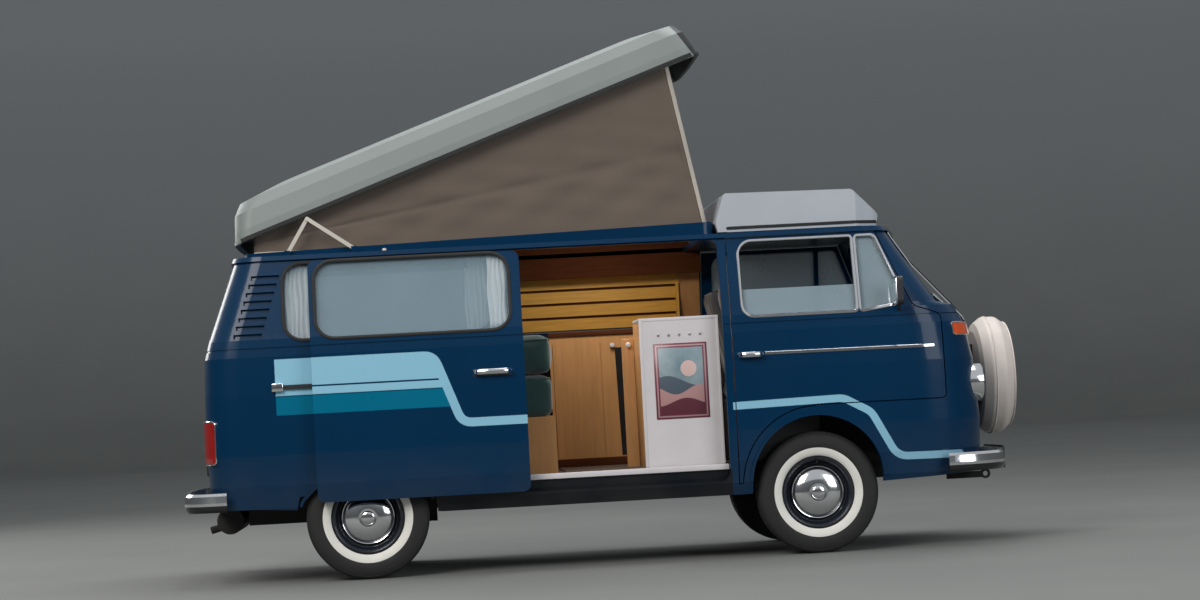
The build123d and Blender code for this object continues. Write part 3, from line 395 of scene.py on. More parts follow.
ALONG_X, ALONG_Z = (1.5, 22.0, 22.0), (18.0, 18.0, 1.5)
M = {surface.name: surface.mat for surface in [
    paint("blue_quarter", "quarter"),
    paint("blue_left", "left"),
    paint("blue_slid_door", "slid_door"),
    paint("blue_cab", "cab"),
    paint("blue"),
    shell_paint("shell"),
    bumper_chrome("bumper"),
    poster_paint("poster"),
    plain("tray_white", srgb(172, 177, 184), 0.45, vary=0.04, scale=3.0, bump=0.05, bump_scale=160.0),
    plain("chrome", (0.82, 0.82, 0.84), 0.12, 1.0, vary=0.05, scale=5.0),
    plain("mirror", (0.9, 0.9, 0.92), 0.04, 1.0, vary=0.02),
    plain("dull_metal", (0.62, 0.62, 0.6), 0.35, 1.0, vary=0.1),
    plain("black_steel", (0.02, 0.02, 0.022), 0.5, 0.2, vary=0.25, bump=0.2, bump_scale=120.0),
    plain("under", (0.022, 0.021, 0.02), 0.8, vary=0.35, bump=0.4, bump_scale=60.0),
    plain("gap_shade", (0.004, 0.0035, 0.003), 0.95, vary=0.2),
    plain("black", (0.015, 0.015, 0.016), vary=0.2, bump=0.15, bump_scale=500.0),
    plain("rubber", (0.012, 0.012, 0.012), 0.75, vary=0.2),
    plain("white_wall", srgb(222, 220, 212), 0.6, vary=0.06, bump=0.1),
    plain("rim", srgb(26, 30, 40), 0.35, vary=0.15, coat=0.4),
    plain("floor_mat", srgb(70, 56, 46), 0.8, vary=0.2, bump=0.3, bump_scale=220.0),
    plain("card", srgb(128, 120, 108), 0.6, vary=0.06, bump=0.2, bump_scale=240.0),
    plain("stay_paint", srgb(196, 190, 180), 0.45, vary=0.06, scale=4.0),
    plain("amber", srgb(225, 84, 20), 0.2, vary=0.1, coat=1.0),
    plain("red", srgb(150, 12, 10), 0.2, vary=0.1, coat=1.0),
    plain("vinyl", srgb(208, 198, 190), vary=0.05, bump=0.1, bump_scale=260.0),
    plain("board", srgb(203, 198, 200), 0.4, vary=0.03),
    glass("glass"),
    # painted reflection: these panes get a pale tint that stands for the sky's reflection
    glass("glass_cab_painted_reflection", srgb(148, 168, 178), 0.55),
    glass("glass_painted_reflection", srgb(150, 176, 190), 0.28),
    glass("lens", (0.85, 0.9, 0.92), 0.4),
    wood("tan", srgb(190, 140, 90), ALONG_Z, dark=0.78),
    wood("slat", srgb(226, 172, 76), ALONG_X, dark=0.72),
    wood("dark_wood", srgb(84, 48, 30), ALONG_X, rough=0.8, coat=0.0),
    cloth("canvas", srgb(95, 84, 75), sheen=0.2, drift=0.07),
    cloth("canvas_edge", srgb(190, 180, 168), sheen=0.2),
    cloth("green", srgb(24, 58, 56), sheen=0.5),
    cloth("seat", srgb(58, 60, 64), sheen=0.4),
    cloth("curtain", srgb(246, 246, 244), 0.003),
]}


def by_name(groups):
    """Each name in the groups' lists with the key of its group."""
    return {name: key for key, names in groups.items() for name in names.split()}


MATERIAL_OF = by_name({
    "blue_quarter": "side_panel_right", "blue_left": "side_panel_left", "blue_slid_door": "sliding_door",
    "blue_cab": "front_panel cab_door_right cab_door_left",
    "blue": "rear_panel roof_panel tailgate engine_lid",
    "floor_mat": "floor_pan engine_deck toe_board", "shell": "roof_shell", "canvas": "roof_canvas",
    "under": "wheel_housings chassis_rails front_axle_beam knuckle_left knuckle_right rear_axle engine_block",
    "black": "mirror_right mirror_left slide_rail front_grille dashboard steering_wheel",
    "glass_cab_painted_reflection": "cab_glass_right cab_glass_left", "glass_painted_reflection": "sliding_door_glass side_glass_right",
    "glass": "tailgate_glass windscreen side_glass_left", "stay_paint": "roof_stay_rear roof_stay_front",
    "tray_white": "luggage_tray", "bumper": "front_bumper rear_bumper", "vinyl": "spare_wheel_cover",
    "chrome": "headlamps", "amber": "front_indicators", "red": "tail_lamps", "seat": "front_seats",
    "tan": "kitchen_unit bench_base", "slat": "slatted_blind", "board": "white_cabinet",
    "green": "bench_cushions",
    "rubber": "tyre_front_right tyre_front_left tyre_rear_right tyre_rear_left",
})
for node_name, node_obj in NODES.items():
    node_obj.data.materials.clear()
    node_obj.data.materials.append(M[MATERIAL_OF.get(node_name, "black_steel")])


# Mesh helpers.
def add_object(name, data):
    obj = bpy.data.objects.new(name, data)
    bpy.context.scene.collection.objects.link(obj)
    return obj


def add_piece(name, mesh, material, body="van", sharp=None):
    """Show a mesh as a piece that rides on a body, smooth but for edges over the sharp angle."""
    mesh.materials.append(M[material])
    if sharp:
        mesh.shade_smooth()
        mesh.set_sharp_from_angle(angle=math.radians(sharp))
    obj = add_object(name, mesh)
    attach(obj, body)
    return obj


def face_outward(mesh, weld=False):
    """Turn the faces outward, after joining points that lie together if asked."""
    form = bmesh.new()
    form.from_mesh(mesh)
    if weld:
        bmesh.ops.remove_doubles(form, verts=form.verts, dist=1e-5)
    bmesh.ops.recalc_face_normals(form, faces=form.faces)
    form.to_mesh(mesh)
    form.free()


def mesh_piece(name, verts, faces, material, body="van", sharp=38):
    mesh = bpy.data.meshes.new(name)
    mesh.from_pydata([tuple(v) for v in verts], [], faces)
    face_outward(mesh)
    return add_piece(name, mesh, material, body, sharp)


def grid_faces(rows, columns, round_rows=False, round_columns=False):
    """Faces of a net whose points stand row by row, joined end to end where asked."""
    faces = []
    for i in range(rows if round_rows else rows - 1):
        j = (i + 1) % rows
        for k in range(columns if round_columns else columns - 1):
            m = (k + 1) % columns
            faces.append((i * columns + k, j * columns + k, j * columns + m, i * columns + m))
    return faces


def tube_faces(rows, columns):
    """Faces of a tube through rings of points, with its two ends."""
    ends = [tuple(range(columns)), tuple(range((rows - 1) * columns, rows * columns))]
    return grid_faces(rows, columns, False, True) + ends


def shifted(faces, by):
    return [tuple(i + by for i in face) for face in faces]


def circle(count, r=1.0, a=0.0, b=0.0):
    """Points (a, b) round a circle."""
    angles = [2 * math.pi * k / count for k in range(count)]
    return [(a + r * math.cos(angle), b + r * math.sin(angle)) for angle in angles]


AXES = {"x": (X, Y, Z), "y": (Y, Z, X), "z": (Z, X, Y)}


def lathe(name, profile, centre, axis, sign, material, body="van", steps=72, closed=False):
    """Profile of (radius, outward) turned about an axis through centre."""
    along, u, v = AXES[axis]
    verts = []
    for c, s in circle(steps):
        verts += [centre + (u * c + v * s) * r + along * sign * o for r, o in profile]
    obj = mesh_piece(name, verts, grid_faces(steps, len(profile), True, closed), material, body)
    face_outward(obj.data, weld=True)
    return obj


def rectangle(a0, b0, a1, b1, r):
    """Corners of a rectangle for outline()."""
    return [(a0, b0, r), (a1, b0, r), (a1, b1, r), (a0, b1, r)]


def trapezoid(half_low, half_top, z0, z1, r_low, r_top):
    """Corners of an upright trapezoid about the van's middle for outline()."""
    return [(-half_low, z0, r_low), (half_low, z0, r_low), (half_top, z1, r_top), (-half_top, z1, r_top)]


def cuts(a, b, step):
    """Points from a to b without b itself."""
    count = max(1, int((b - a).length / step))
    return [a.lerp(b, k / count) for k in range(count)]


def line(points, step=0.03):
    """Points along an open run."""
    points = [Vector(p) for p in points]
    return [p for a, b in zip(points, points[1:]) for p in cuts(a, b, step)] + points[-1:]


def outline(corners, step=0.03, arc_steps=7):
    """Points round a closed outline of (a, b, radius) corners."""
    out = []
    for i, (a, b, r) in enumerate(corners):
        p = Vector((a, b))
        u = Vector(corners[i - 1][:2]) - p
        v = Vector(corners[(i + 1) % len(corners)][:2]) - p
        half = u.angle(v) / 2
        t = min(max(r, 0.002) / math.tan(half), 0.49 * u.length, 0.49 * v.length)
        u.normalize()
        v.normalize()
        centre = p + (u + v).normalized() * (t / math.cos(half))
        start, end = p + u * t - centre, p + v * t - centre
        turn = start.angle_signed(end)
        out += [centre + Matrix.Rotation(-turn * k / arc_steps, 2) @ start for k in range(arc_steps + 1)]
    return [p for a, b in zip(out, out[1:] + out[:1]) for p in cuts(a, b, step)]


def grow(corners, d):
    """The outline's straight sides moved outward by d."""
    points = [Vector(c[:2]) for c in corners]
    after = points[1:] + points[:1]
    s = math.copysign(1, sum(a.x * b.y - b.x * a.y for a, b in zip(points, after)))
    out = []
    for i, p in enumerate(points):
        d1, d2 = (p - points[i - 1]).normalized(), (after[i] - p).normalized()
        n1, n2 = Vector((d1.y, -d1.x)) * s, Vector((d2.y, -d2.x)) * s
        q = p + (n1 + n2) * (d / (1 + n1.dot(n2)))
        out.append((q.x, q.y, corners[i][2] + d))
    return out


def skin_tree(*names):
    verts, faces = [], []
    for name in names:
        mesh = NODES[name].data
        faces += shifted([p.vertices for p in mesh.polygons], len(verts))
        verts += [v.co.copy() for v in mesh.vertices]
    return BVHTree.FromPolygons(verts, faces)


def on_skin(tree, points, facing):
    """Where rays against the facing direction meet the skin, as (point, outward normal)."""
    places = []
    facing = Vector(facing)
    for p in points:
        hit, normal, _, _ = tree.ray_cast(p + facing, -facing)
        if hit is None:
            hit, normal, _, _ = tree.find_nearest(p)
        if normal.dot(facing) < 0.3:
            normal = facing.copy()
        places.append((hit, normal))
    return places


BESIDE, BEYOND, AT_DASH = 0.9, 2.4, 1.3  # where rays against the sides, the ends and the dashboard aim


def on_side(tree, points, side):
    return on_skin(tree, [Vector((x, side * BESIDE, z)) for x, z in points], (0, side, 0))


def on_end(tree, points, sign, x=None):
    return on_skin(tree, [Vector((x or sign * BEYOND, y, z)) for y, z in points], (sign, 0, 0))


def end_spot(tree, y, z, sign, x=None):
    return on_end(tree, [(y, z)], sign, x)[0][0]


def sweep(name, places, profile, material, body="van", closed=True):
    """Profile of (out, across) carried along the places."""
    n = len(places)
    verts = []
    for i, (p, normal) in enumerate(places):
        a = places[i - 1][0] if closed or i else p
        b = places[(i + 1) % n][0] if closed or i < n - 1 else p
        t = (b - a).normalized()
        across = t.cross(normal).normalized()
        out = across.cross(t)
        verts += [p + out * o + across * c for o, c in profile]
    faces = grid_faces(n, len(profile), True, True) if closed else tube_faces(n, len(profile))
    return mesh_piece(name, verts, faces, material, body)


def flat_bar(width, height, sink=0.004):
    w, e = width / 2, min(height, width) * 0.3
    return [(-sink, -w), (height - e, -w), (height, -w + e), (height, w - e), (height - e, w), (-sink, w)]


def block(name, low, high, bevel, segments):
    """Mesh of a block with rolled edges."""
    form = bmesh.new()
    bmesh.ops.create_cube(form, size=1.0)
    for v in form.verts:
        v.co = Vector([(low[k] + high[k]) / 2 + v.co[k] * (high[k] - low[k]) for k in range(3)])
    bmesh.ops.bevel(form, geom=form.edges[:], offset=bevel, segments=segments, affect="EDGES", profile=0.5)
    mesh = bpy.data.meshes.new(name)
    form.to_mesh(mesh)
    form.free()
    return mesh


def slab(name, corner, opposite, material, bevel, segments=3, body="van"):
    """Block between two opposite corners."""
    low, high = [[pick(pair) for pair in zip(corner, opposite)] for pick in (min, max)]
    return add_piece(name, block(name, low, high, bevel, segments), material, body, sharp=50)


# Window seals and frames.
SEAL = [(-0.006, -0.009), (0.003, -0.009), (0.006, -0.005), (0.007, 0.0), (0.006, 0.005), (0.003, 0.009),
        (-0.006, 0.009)]
CHROME_FRAME = [(-0.008, -0.008), (0.004, -0.008), (0.007, -0.005), (0.007, 0.005), (0.004, 0.008),
                (-0.008, 0.008)]
SCREEN_TRIM = [(0.007, -0.004), (0.011, 0.0), (0.007, 0.004)]
SIDE_WINDOW_R, END_WINDOW_R = 0.095, 0.09
CAB_MAIN = [(0.738, 1.283, 0.06), (1.346, 1.283, 0.012), (1.346, 1.684, 0.012), (0.738, 1.684, 0.07)]
CAB_VENT = [(1.371, 1.283, 0.012), (1.610, 1.316, 0.04), (1.470, 1.684, 0.03), (1.371, 1.684, 0.012)]


def side_window(node):
    low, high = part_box(node)
    return rectangle(low.x, low.z, high.x, high.z, SIDE_WINDOW_R)


def end_window(node, half_top):
    low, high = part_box(node)
    return trapezoid(high.y, half_top, low.z, high.z, END_WINDOW_R, END_WINDOW_R)


def window_seals():
    """Rubber round the panes, bright frames round those of the cab doors and the windscreen."""
    rear, door = side_window("side_glass_right"), side_window("sliding_door_glass")
    ahead = rectangle(door[0][0] + SLIDE_BACK, door[0][1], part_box("side_glass_left")[1].x, door[2][1],
                      SIDE_WINDOW_R)
    for tag, skin, corners, side in (("rear_right", "side_panel_right", rear, -1),
                                     ("slid_door", "sliding_door", door, -1),
                                     ("rear_left", "side_panel_left", rear, 1),
                                     ("front_left", "side_panel_left", ahead, 1)):
        places = on_side(skin_tree(skin), outline(grow(corners, 0.007)), side)
        sweep("seal_" + tag, places, SEAL, "rubber")
    for side, tag in SIDES:
        tree = skin_tree("cab_door_" + tag)
        for part, corners in (("main", CAB_MAIN), ("vent", CAB_VENT)):
            places = on_side(tree, outline(grow(corners, 0.004)), side)
            sweep("frame_" + part + "_" + tag, places, CHROME_FRAME, "chrome", "door_" + tag)
    screen, gate = end_window("windscreen", 0.628), end_window("tailgate_glass", 0.478)
    for name, skin, corners, out, sign, profile, material, body in (
            ("seal_windscreen", "front_panel", screen, 0.008, 1, SEAL, "rubber", "van"),
            ("trim_windscreen", "front_panel", screen, 0.013, 1, SCREEN_TRIM, "chrome", "van"),
            ("seal_tailgate", "tailgate", gate, 0.008, -1, SEAL, "rubber", "gate")):
        sweep(name, on_end(skin_tree(skin), outline(grow(corners, out)), sign), profile, material, body)


# Bright side trim, handles.
TRIM_X, TRIM_Z, TRIM_FALL = (0.840, 1.748), 1.080, 0.004
CAB_HANDLE_X, CAB_HANDLE_Z, CAB_HANDLE_Y = (0.705, 0.822), 1.076, 0.855
SLID_HANDLE_BACK, SLID_HANDLE_LONG, SLID_HANDLE_Z, SLID_HANDLE_Y = 0.079, 0.184, 1.060, 0.917


def side_trim():
    for side, tag in SIDES:
        run = line([(TRIM_X[0], TRIM_Z), (TRIM_X[1], TRIM_Z - TRIM_FALL)])
        places = on_side(skin_tree("cab_door_" + tag), run, side)
        sweep("trim_" + tag, places, flat_bar(0.016, 0.007), "chrome", "door_" + tag, closed=False)
        handle("handle_" + tag, *CAB_HANDLE_X, CAB_HANDLE_Z, side, CAB_HANDLE_Y, "door_" + tag)
    x1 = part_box("sliding_door")[1].x - SLID_HANDLE_BACK
    x0 = x1 - SLID_HANDLE_LONG
    handle("handle_slid_door", x0, x1, SLID_HANDLE_Z, -1, SLID_HANDLE_Y)
    # painted shade: a black plate stands for the shaded recess behind the handle
    slab("handle_recess_shade", (x0 - 0.012, -SLID_HANDLE_Y - 0.0015, SLID_HANDLE_Z - 0.030),
         (x1 + 0.012, -SLID_HANDLE_Y + 0.0035, SLID_HANDLE_Z), "black", 0.002)


def handle(name, x0, x1, z, side, skin_y, body="van"):
    """Bright bow over the handle bar, on two feet."""
    places = []
    for x, out in ((x0 - 0.004, -0.002), (x0 + 0.002, 0.018), (x0 + 0.02, 0.030), ((x0 + x1) / 2, 0.032),
                   (x1 - 0.02, 0.030), (x1 - 0.002, 0.018), (x1 + 0.004, -0.002)):
        places.append((Vector((x, side * (skin_y + out), z)), Vector((0, side, 0.001))))
    sweep(name, places, [(o, c * 1.5) for o, c in circle(10, 0.0095)], "chrome", body, closed=False)


# Wheels: treaded tyre with a white wall, dark rim, bright hubcap.
WHEEL_BODIES = {"front_right": ("wheel_fr", -1), "front_left": ("wheel_fl", 1),
                "rear_right": ("wheel_rr", -1), "rear_left": ("wheel_rl", 1)}
TYRE_STEPS, TREAD_CUTS = 216, 30
TREAD_R, TREAD_HALF = 0.325, 0.064
GROOVES = (-0.040, -0.014, 0.014, 0.040)
SIDEWALL = [(0.188, 0.066), (0.190, 0.0705), (0.193, 0.0756), (0.195, 0.0750), (0.197, 0.0776),
            (0.208, 0.0826), (0.222, 0.0868), (0.235, 0.0890), (0.238, 0.0887), (0.240, 0.0898),
            (0.264, 0.0915), (0.280, 0.0895), (0.296, 0.0860), (0.304, 0.0835), (0.306, 0.0815),
            (0.309, 0.0820), (0.318, 0.0745), (0.323, 0.0685)]
WHITE_FROM, WHITE_TO = 0.1955, 0.237
RIM_PROFILE = [(0.030, 0.048), (0.128, 0.047), (0.134, 0.045), (0.140, 0.036), (0.148, 0.026), (0.158, 0.030),
               (0.166, 0.050), (0.170, 0.060), (0.178, 0.072), (0.184, 0.077), (0.1885, 0.0765),
               (0.1895, 0.072), (0.186, 0.064), (0.176, 0.052), (0.174, 0.030), (0.174, -0.050),
               (0.184, -0.062), (0.188, -0.074), (0.180, -0.074), (0.168, -0.056), (0.160, -0.020),
               (0.120, 0.000), (0.030, 0.002)]
HUBCAP = [(0.0, 0.0885), (0.012, 0.0885), (0.030, 0.0872), (0.034, 0.0840), (0.036, 0.0825), (0.039, 0.0835),
          (0.058, 0.0820), (0.082, 0.0778), (0.102, 0.0712), (0.117, 0.0636), (0.127, 0.0562),
          (0.1320, 0.0497), (0.1350, 0.0477), (0.1385, 0.0490), (0.1400, 0.0465), (0.1385, 0.0440)]
RIM_SLOTS, SLOT_R, SLOT_Y, SLOT_POINTS = 16, 0.1535, 0.0325, 12
VALVE_R, VALVE_Y = 0.163, 0.048
VALVE = [(0.0, 0.03), (0.004, 0.03), (0.0045, 0.0), (0.0, 0.0)]


def tread_cut(i, y):
    """Depth of the pattern below the tread's face at a step and a place across."""
    zig = 0.003 if (i // 3) % 2 else -0.003
    depth = 0.0035 * (y / TREAD_HALF) ** 4
    if any(abs(y - g - zig) < 0.0025 for g in GROOVES):
        return depth + 0.007
    if abs(y) > 0.044 and i % 6 == 0:
        return depth + 0.006
    if abs(abs(y) - 0.027) < 0.008 and i % 6 == 3:
        return depth + 0.004
    return depth


def tyre(tag, body, side):
    centre = middle("tyre_" + tag)
    tread = [-TREAD_HALF + 2 * TREAD_HALF * k / TREAD_CUTS for k in range(TREAD_CUTS + 1)]
    verts = []
    for i, (c, s) in enumerate(circle(TYRE_STEPS)):
        profile = SIDEWALL + [(TREAD_R - tread_cut(i, y), y) for y in reversed(tread)]
        profile += [(r, -y) for r, y in reversed(SIDEWALL)]
        verts += [centre + Vector((r * c, side * y, r * s)) for r, y in profile]
    faces = grid_faces(TYRE_STEPS, len(profile), True, True)
    obj = mesh_piece("tyre_piece_" + tag, verts, faces, "rubber", body)
    obj.data.materials.append(M["white_wall"])
    for poly in obj.data.polygons:
        c = poly.center - centre
        if WHITE_FROM < math.hypot(c.x, c.z) < WHITE_TO and c.y * side > 0.05:
            poly.material_index = 1
    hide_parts("tyre_" + tag)


def wheel(tag, body, side):
    """Rim with its slots, hubcap and valve."""
    centre = middle("tyre_" + tag)
    rim = lathe("rim_" + tag, RIM_PROFILE, centre, "y", side, "rim", body, closed=True)
    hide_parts("wheel_" + tag)
    lathe("hubcap_" + tag, HUBCAP, centre, "y", side, "chrome", body)
    verts, faces = [], []
    cup = tube_faces(2, SLOT_POINTS)
    cup.remove(tuple(range(SLOT_POINTS)))
    for c, s in circle(RIM_SLOTS):
        radial, tangent = Vector((c, 0, s)), Vector((-s, 0, c))
        faces += shifted(cup, len(verts))
        for wide, long, y in ((0.005, 0.014, SLOT_Y), (0.004, 0.012, SLOT_Y - 0.004)):
            p = centre + radial * SLOT_R + Y * side * y
            verts += [p + radial * wide * a + tangent * long * b for a, b in circle(SLOT_POINTS)]
    mesh_piece("rim_slots_" + tag, verts, faces, "black", body)
    valve = centre + Y * side * VALVE_Y + Z * VALVE_R
    lathe("valve_" + tag, VALVE, valve, "y", side, "black", body, steps=12)


# Raised roof: sewn canvas, dark seals and small parts.
CANVAS_LOW, CANVAS_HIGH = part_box("roof_canvas")
CANVAS_REAR, CANVAS_HALF = CANVAS_LOW.x + 0.004, CANVAS_HIGH.y - 0.004
CANVAS_FOOT_Z = CANVAS_LOW.z + 0.002
CANVAS_REAR_TOP = 1.880
CANVAS_FRONT_TOP = (0.438, 2.680)
CANVAS_CORNER = 0.055
CANVAS_ROWS, SIDE_STEPS, ARC_STEPS, FRONT_STEPS = 44, 110, 10, 48
PIPING = flat_bar(0.03, 0.003, 0.001)
HEM = flat_bar(0.022, 0.003, 0.001)
SHELL_SEAL = flat_bar(0.022, 0.005)
SHELL_SEAL_UP, SHELL_SEAL_FROM, SHELL_SEAL_RUN, SHELL_AIM_Y = 0.013, 0.05, 2.62, 0.7
SHELL_NOSE_UP, SHELL_NOSE_X, SHELL_NOSE_HALF = 0.014, 2.8, 0.54


def canvas_path(front_x):
    """Places (x, y) with their outward direction round the left side, the front and the right side."""
    r = CANVAS_CORNER
    run = front_x - r - CANVAS_REAR
    left = [(CANVAS_REAR + run * k / SIDE_STEPS, CANVAS_HALF, 0.0, 1.0) for k in range(SIDE_STEPS)]
    for a in [math.pi / 2 * k / ARC_STEPS for k in range(ARC_STEPS)]:
        nx, ny = math.sin(a), math.cos(a)
        left.append((front_x - r + r * nx, CANVAS_HALF - r + r * ny, nx, ny))
    across = [(CANVAS_HALF - r) * (1 - 2 * k / FRONT_STEPS) for k in range(FRONT_STEPS + 1)]
    front = [(front_x, y, 1.0, 0.0) for y in across]
    return left + front + [(x, -y, nx, -ny) for x, y, nx, ny in reversed(left)]


def canvas_inward(x, y, z, t, height):
    """How far the cloth stands in from its flat place: sag, fold line, ripples and pulls."""
    hold = math.sin(math.pi * t)
    u = x + y * 0.4
    sag = 0.018 * hold * min(1.0, height / 0.5)
    crease = 0.007 * math.exp(-((t - 0.5) / 0.035) ** 2) * min(1.0, height / 0.3)
    ripple = 0.0035 * math.sin(u * 17 + t * 5.2) * math.sin(u * 6.1 + 2.1 * t) * hold
    ripple += 0.0022 * math.sin(z * 46 + u * 7) * hold
    pull = 0.005 * math.sin((u * 0.9 - z * 1.3) * 21) * hold * max(0.0, 1 - abs(t - 0.25) * 2)
    slack = 0.006 * math.sin(u * 38) * hold * max(0.0, 1 - height / 0.35)
    return sag + crease + ripple + pull + slack


def thicken(obj, thickness, offset=None):
    shell = obj.modifiers.new("thickness", "SOLIDIFY")
    shell.thickness = thickness
    if offset is not None:
        shell.offset = offset


def canvas_back():
    """Flap that closes the rear between the panel and the shell."""
    across, up = 40, 6
    verts = []
    for t in shares(up):
        for u in shares(across):
            sag = (0.006 + 0.002 * math.sin(u * 40)) * math.sin(math.pi * t)
            z = CANVAS_FOOT_Z + (CANVAS_REAR_TOP - CANVAS_FOOT_Z) * t
            verts.append(Vector((CANVAS_REAR + sag, CANVAS_HALF * (2 * u - 1), z)))
    back = mesh_piece("canvas_back", verts, grid_faces(up + 1, across + 1), "canvas")
    thicken(back, 0.0015)
    return back


def canvas_sheet():
    """One sheet round both sides and the front, with its piping and hem."""
    rise = (CANVAS_FRONT_TOP[1] - CANVAS_REAR_TOP) / (CANVAS_FRONT_TOP[0] - CANVAS_REAR)
    foot, top = canvas_path(CANVAS_HIGH.x - 0.004), canvas_path(CANVAS_FRONT_TOP[0])
    n = len(foot)
    verts = []
    for t in shares(CANVAS_ROWS):
        for (fx, fy, nx, ny), (tx, ty, _, _) in zip(foot, top):
            height = min(CANVAS_REAR_TOP + rise * (tx - CANVAS_REAR), CANVAS_FRONT_TOP[1]) - CANVAS_FOOT_Z
            x, y, z = fx + (tx - fx) * t, fy + (ty - fy) * t, CANVAS_FOOT_Z + height * t
            d = canvas_inward(x, y, z, t, height) * (1 - abs(nx * ny) * 2)
            verts.append(Vector((x - nx * d, y - ny * d, z)))
    faces = grid_faces(CANVAS_ROWS + 1, n)
    obj = mesh_piece("canvas_sheet", verts, faces, "canvas")
    thicken(obj, 0.0015, -1)
    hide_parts("roof_canvas")
    outward = [Vector((nx, ny, 0)) for _, _, nx, ny in foot]
    seams = []
    corner = SIDE_STEPS + ARC_STEPS // 2
    for tag, i in (("left", corner), ("right", n - 1 - corner)):
        places = [(verts[j * n + i], outward[i] + Z * 0.2) for j in range(CANVAS_ROWS + 1)]
        seams.append(sweep("canvas_piping_" + tag, places, PIPING, "canvas_edge", closed=False))
    hem = [(verts[i] + outward[i] * 0.002 + Z * 0.012, outward[i]) for i in range(0, n, 2)]
    seams.append(sweep("canvas_hem", hem, HEM, "canvas_edge", closed=False))
    back = canvas_back()
    for piece in [obj, back] + seams:
        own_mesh(piece)


def shell_trim():
    """Dark seal along the shell's lower edges."""
    tree = skin_tree("roof_shell")
    edge = [ROOF_FOOT + ROOF_UP * SHELL_SEAL_UP + ROOF_ALONG * (SHELL_SEAL_FROM + SHELL_SEAL_RUN * t)
            for t in shares(60)]
    runs = [(tag, [p + Y * side * SHELL_AIM_Y for p in edge], Y * side) for side, tag in SIDES]
    nose = ROOF_FOOT + ROOF_UP * SHELL_NOSE_UP + ROOF_ALONG * SHELL_NOSE_X
    runs.append(("front", [nose + Y * SHELL_NOSE_HALF * (2 * t - 1) for t in shares(30)], ROOF_ALONG))
    for tag, points, facing in runs:
        sweep("shell_seal_" + tag, on_skin(tree, points, facing), SHELL_SEAL, "rubber", "roof", closed=False)


STUD = [(0.0, 0.020), (0.008, 0.019), (0.012, 0.013), (0.012, 0.004), (0.017, 0.002), (0.017, -0.003)]
STUD_X, STUD_Y, STUD_AIM_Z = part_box("roof_stay_front")[1].x + 0.150, 0.668, 1.80
TRAY_REAR_IN, TRAY_FRONT_IN, TRAY_FRONT_SIDE_IN = 0.012, 0.010, 0.016
TRAY_REAR_R, TRAY_FRONT_R, TRAY_SEAL_UP = 0.07, 0.10, 0.022


def roof_bits():
    """Studs by the stays' feet and the dark seal under the luggage tray."""
    roof = skin_tree("roof_panel")
    for side, tag in SIDES:
        place = on_skin(roof, [Vector((STUD_X, side * STUD_Y, STUD_AIM_Z))], Z)[0][0]
        lathe("roof_stud_" + tag, STUD, place, "z", 1, "stay_paint", steps=28)
    low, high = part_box("luggage_tray")
    x0, x1 = low.x + TRAY_REAR_IN, high.x - TRAY_FRONT_IN
    rim = outline([(x0, low.y + TRAY_REAR_IN, TRAY_REAR_R), (x1, low.y + TRAY_FRONT_SIDE_IN, TRAY_FRONT_R),
                   (x1, high.y - TRAY_FRONT_SIDE_IN, TRAY_FRONT_R),
                   (x0, high.y - TRAY_REAR_IN, TRAY_REAR_R)], 0.04, 6)
    tray = skin_tree("luggage_tray")
    places = []
    for p in rim:
        hit, normal, _, _ = tray.find_nearest(Vector((p.x, p.y, low.z + TRAY_SEAL_UP)))
        flat = Vector((normal.x, normal.y, 0))
        places.append((hit, flat.normalized() if flat.length > 0.1 else Y * math.copysign(1, p.y)))
    sweep("tray_seal", places, flat_bar(0.016, 0.005), "rubber")


# Pads and seats.
PAD_SWELL = 0.014
AIR_FRAMES = 20
AIR = {"quality": 4, "mass": 0.4, "tension_stiffness": 12.0, "compression_stiffness": 12.0,
       "shear_stiffness": 4.0, "bending_stiffness": 0.8, "use_pressure": True,
       "uniform_pressure_force": 4.0}


def voxel_remesh(obj, voxel):
    remesh = obj.modifiers.new("remesh", "REMESH")
    remesh.mode = "VOXEL"
    remesh.voxel_size = voxel


def evaluated(obj):
    return obj.evaluated_get(bpy.context.evaluated_depsgraph_get())


def inflate(obj, voxel, swell):
    """Swell a pad by air pressure, by no more than swell at any point, and keep the swollen mesh."""
    voxel_remesh(obj, voxel)
    start = bpy.data.meshes.new_from_object(evaluated(obj))
    obj.modifiers.clear()
    obj.data = start
    air = obj.modifiers.new("air", "CLOTH")
    for key, value in AIR.items():
        setattr(air.settings, key, value)
    air.settings.effector_weights.gravity = 0.0
    air.point_cache.frame_start, air.point_cache.frame_end = 1, AIR_FRAMES
    for number in range(1, AIR_FRAMES + 1):
        bpy.context.scene.frame_set(number)
    swollen = evaluated(obj).to_mesh()
    moves = [swollen.vertices[i].co - v.co for i, v in enumerate(start.vertices)]
    evaluated(obj).to_mesh_clear()
    obj.modifiers.clear()
    bpy.context.scene.frame_set(1)
    for v, move in zip(start.vertices, moves):
        v.co += move * min(1.0, swell / max(move.length, 1e-9))


def sew(obj, low, high, seams):
    """Slack and sewn channels, kept within the pad's block."""
    for v in obj.data.vertices:
        x, y, z = v.co
        slack = 0.0016 * math.sin(x * 29 + y * 17) * math.sin(y * 27 + z * 21)
        for axis, place in seams:
            slack -= 0.011 * math.exp(-((v.co[axis] - place) / 0.014) ** 2)
        v.co += v.normal * slack
        v.co = Vector([min(max(v.co[k], low[k] + 0.001), high[k] - 0.001) for k in range(3)])


def welt(obj, low, high, material):
    """Piping round the pad's top."""
    tree = BVHTree.FromObject(obj, bpy.context.evaluated_depsgraph_get())
    places = []
    for p in outline(rectangle(low.x, low.y, high.x, high.y, 0.05), 0.04, 5):
        hit, normal, _, _ = tree.find_nearest(Vector((p.x, p.y, high.z + 0.004)))
        places.append((hit, (normal + Z * 0.4).normalized()))
    return sweep(obj.name + "_welt", places, circle(6, 0.0035, 0.001), material)


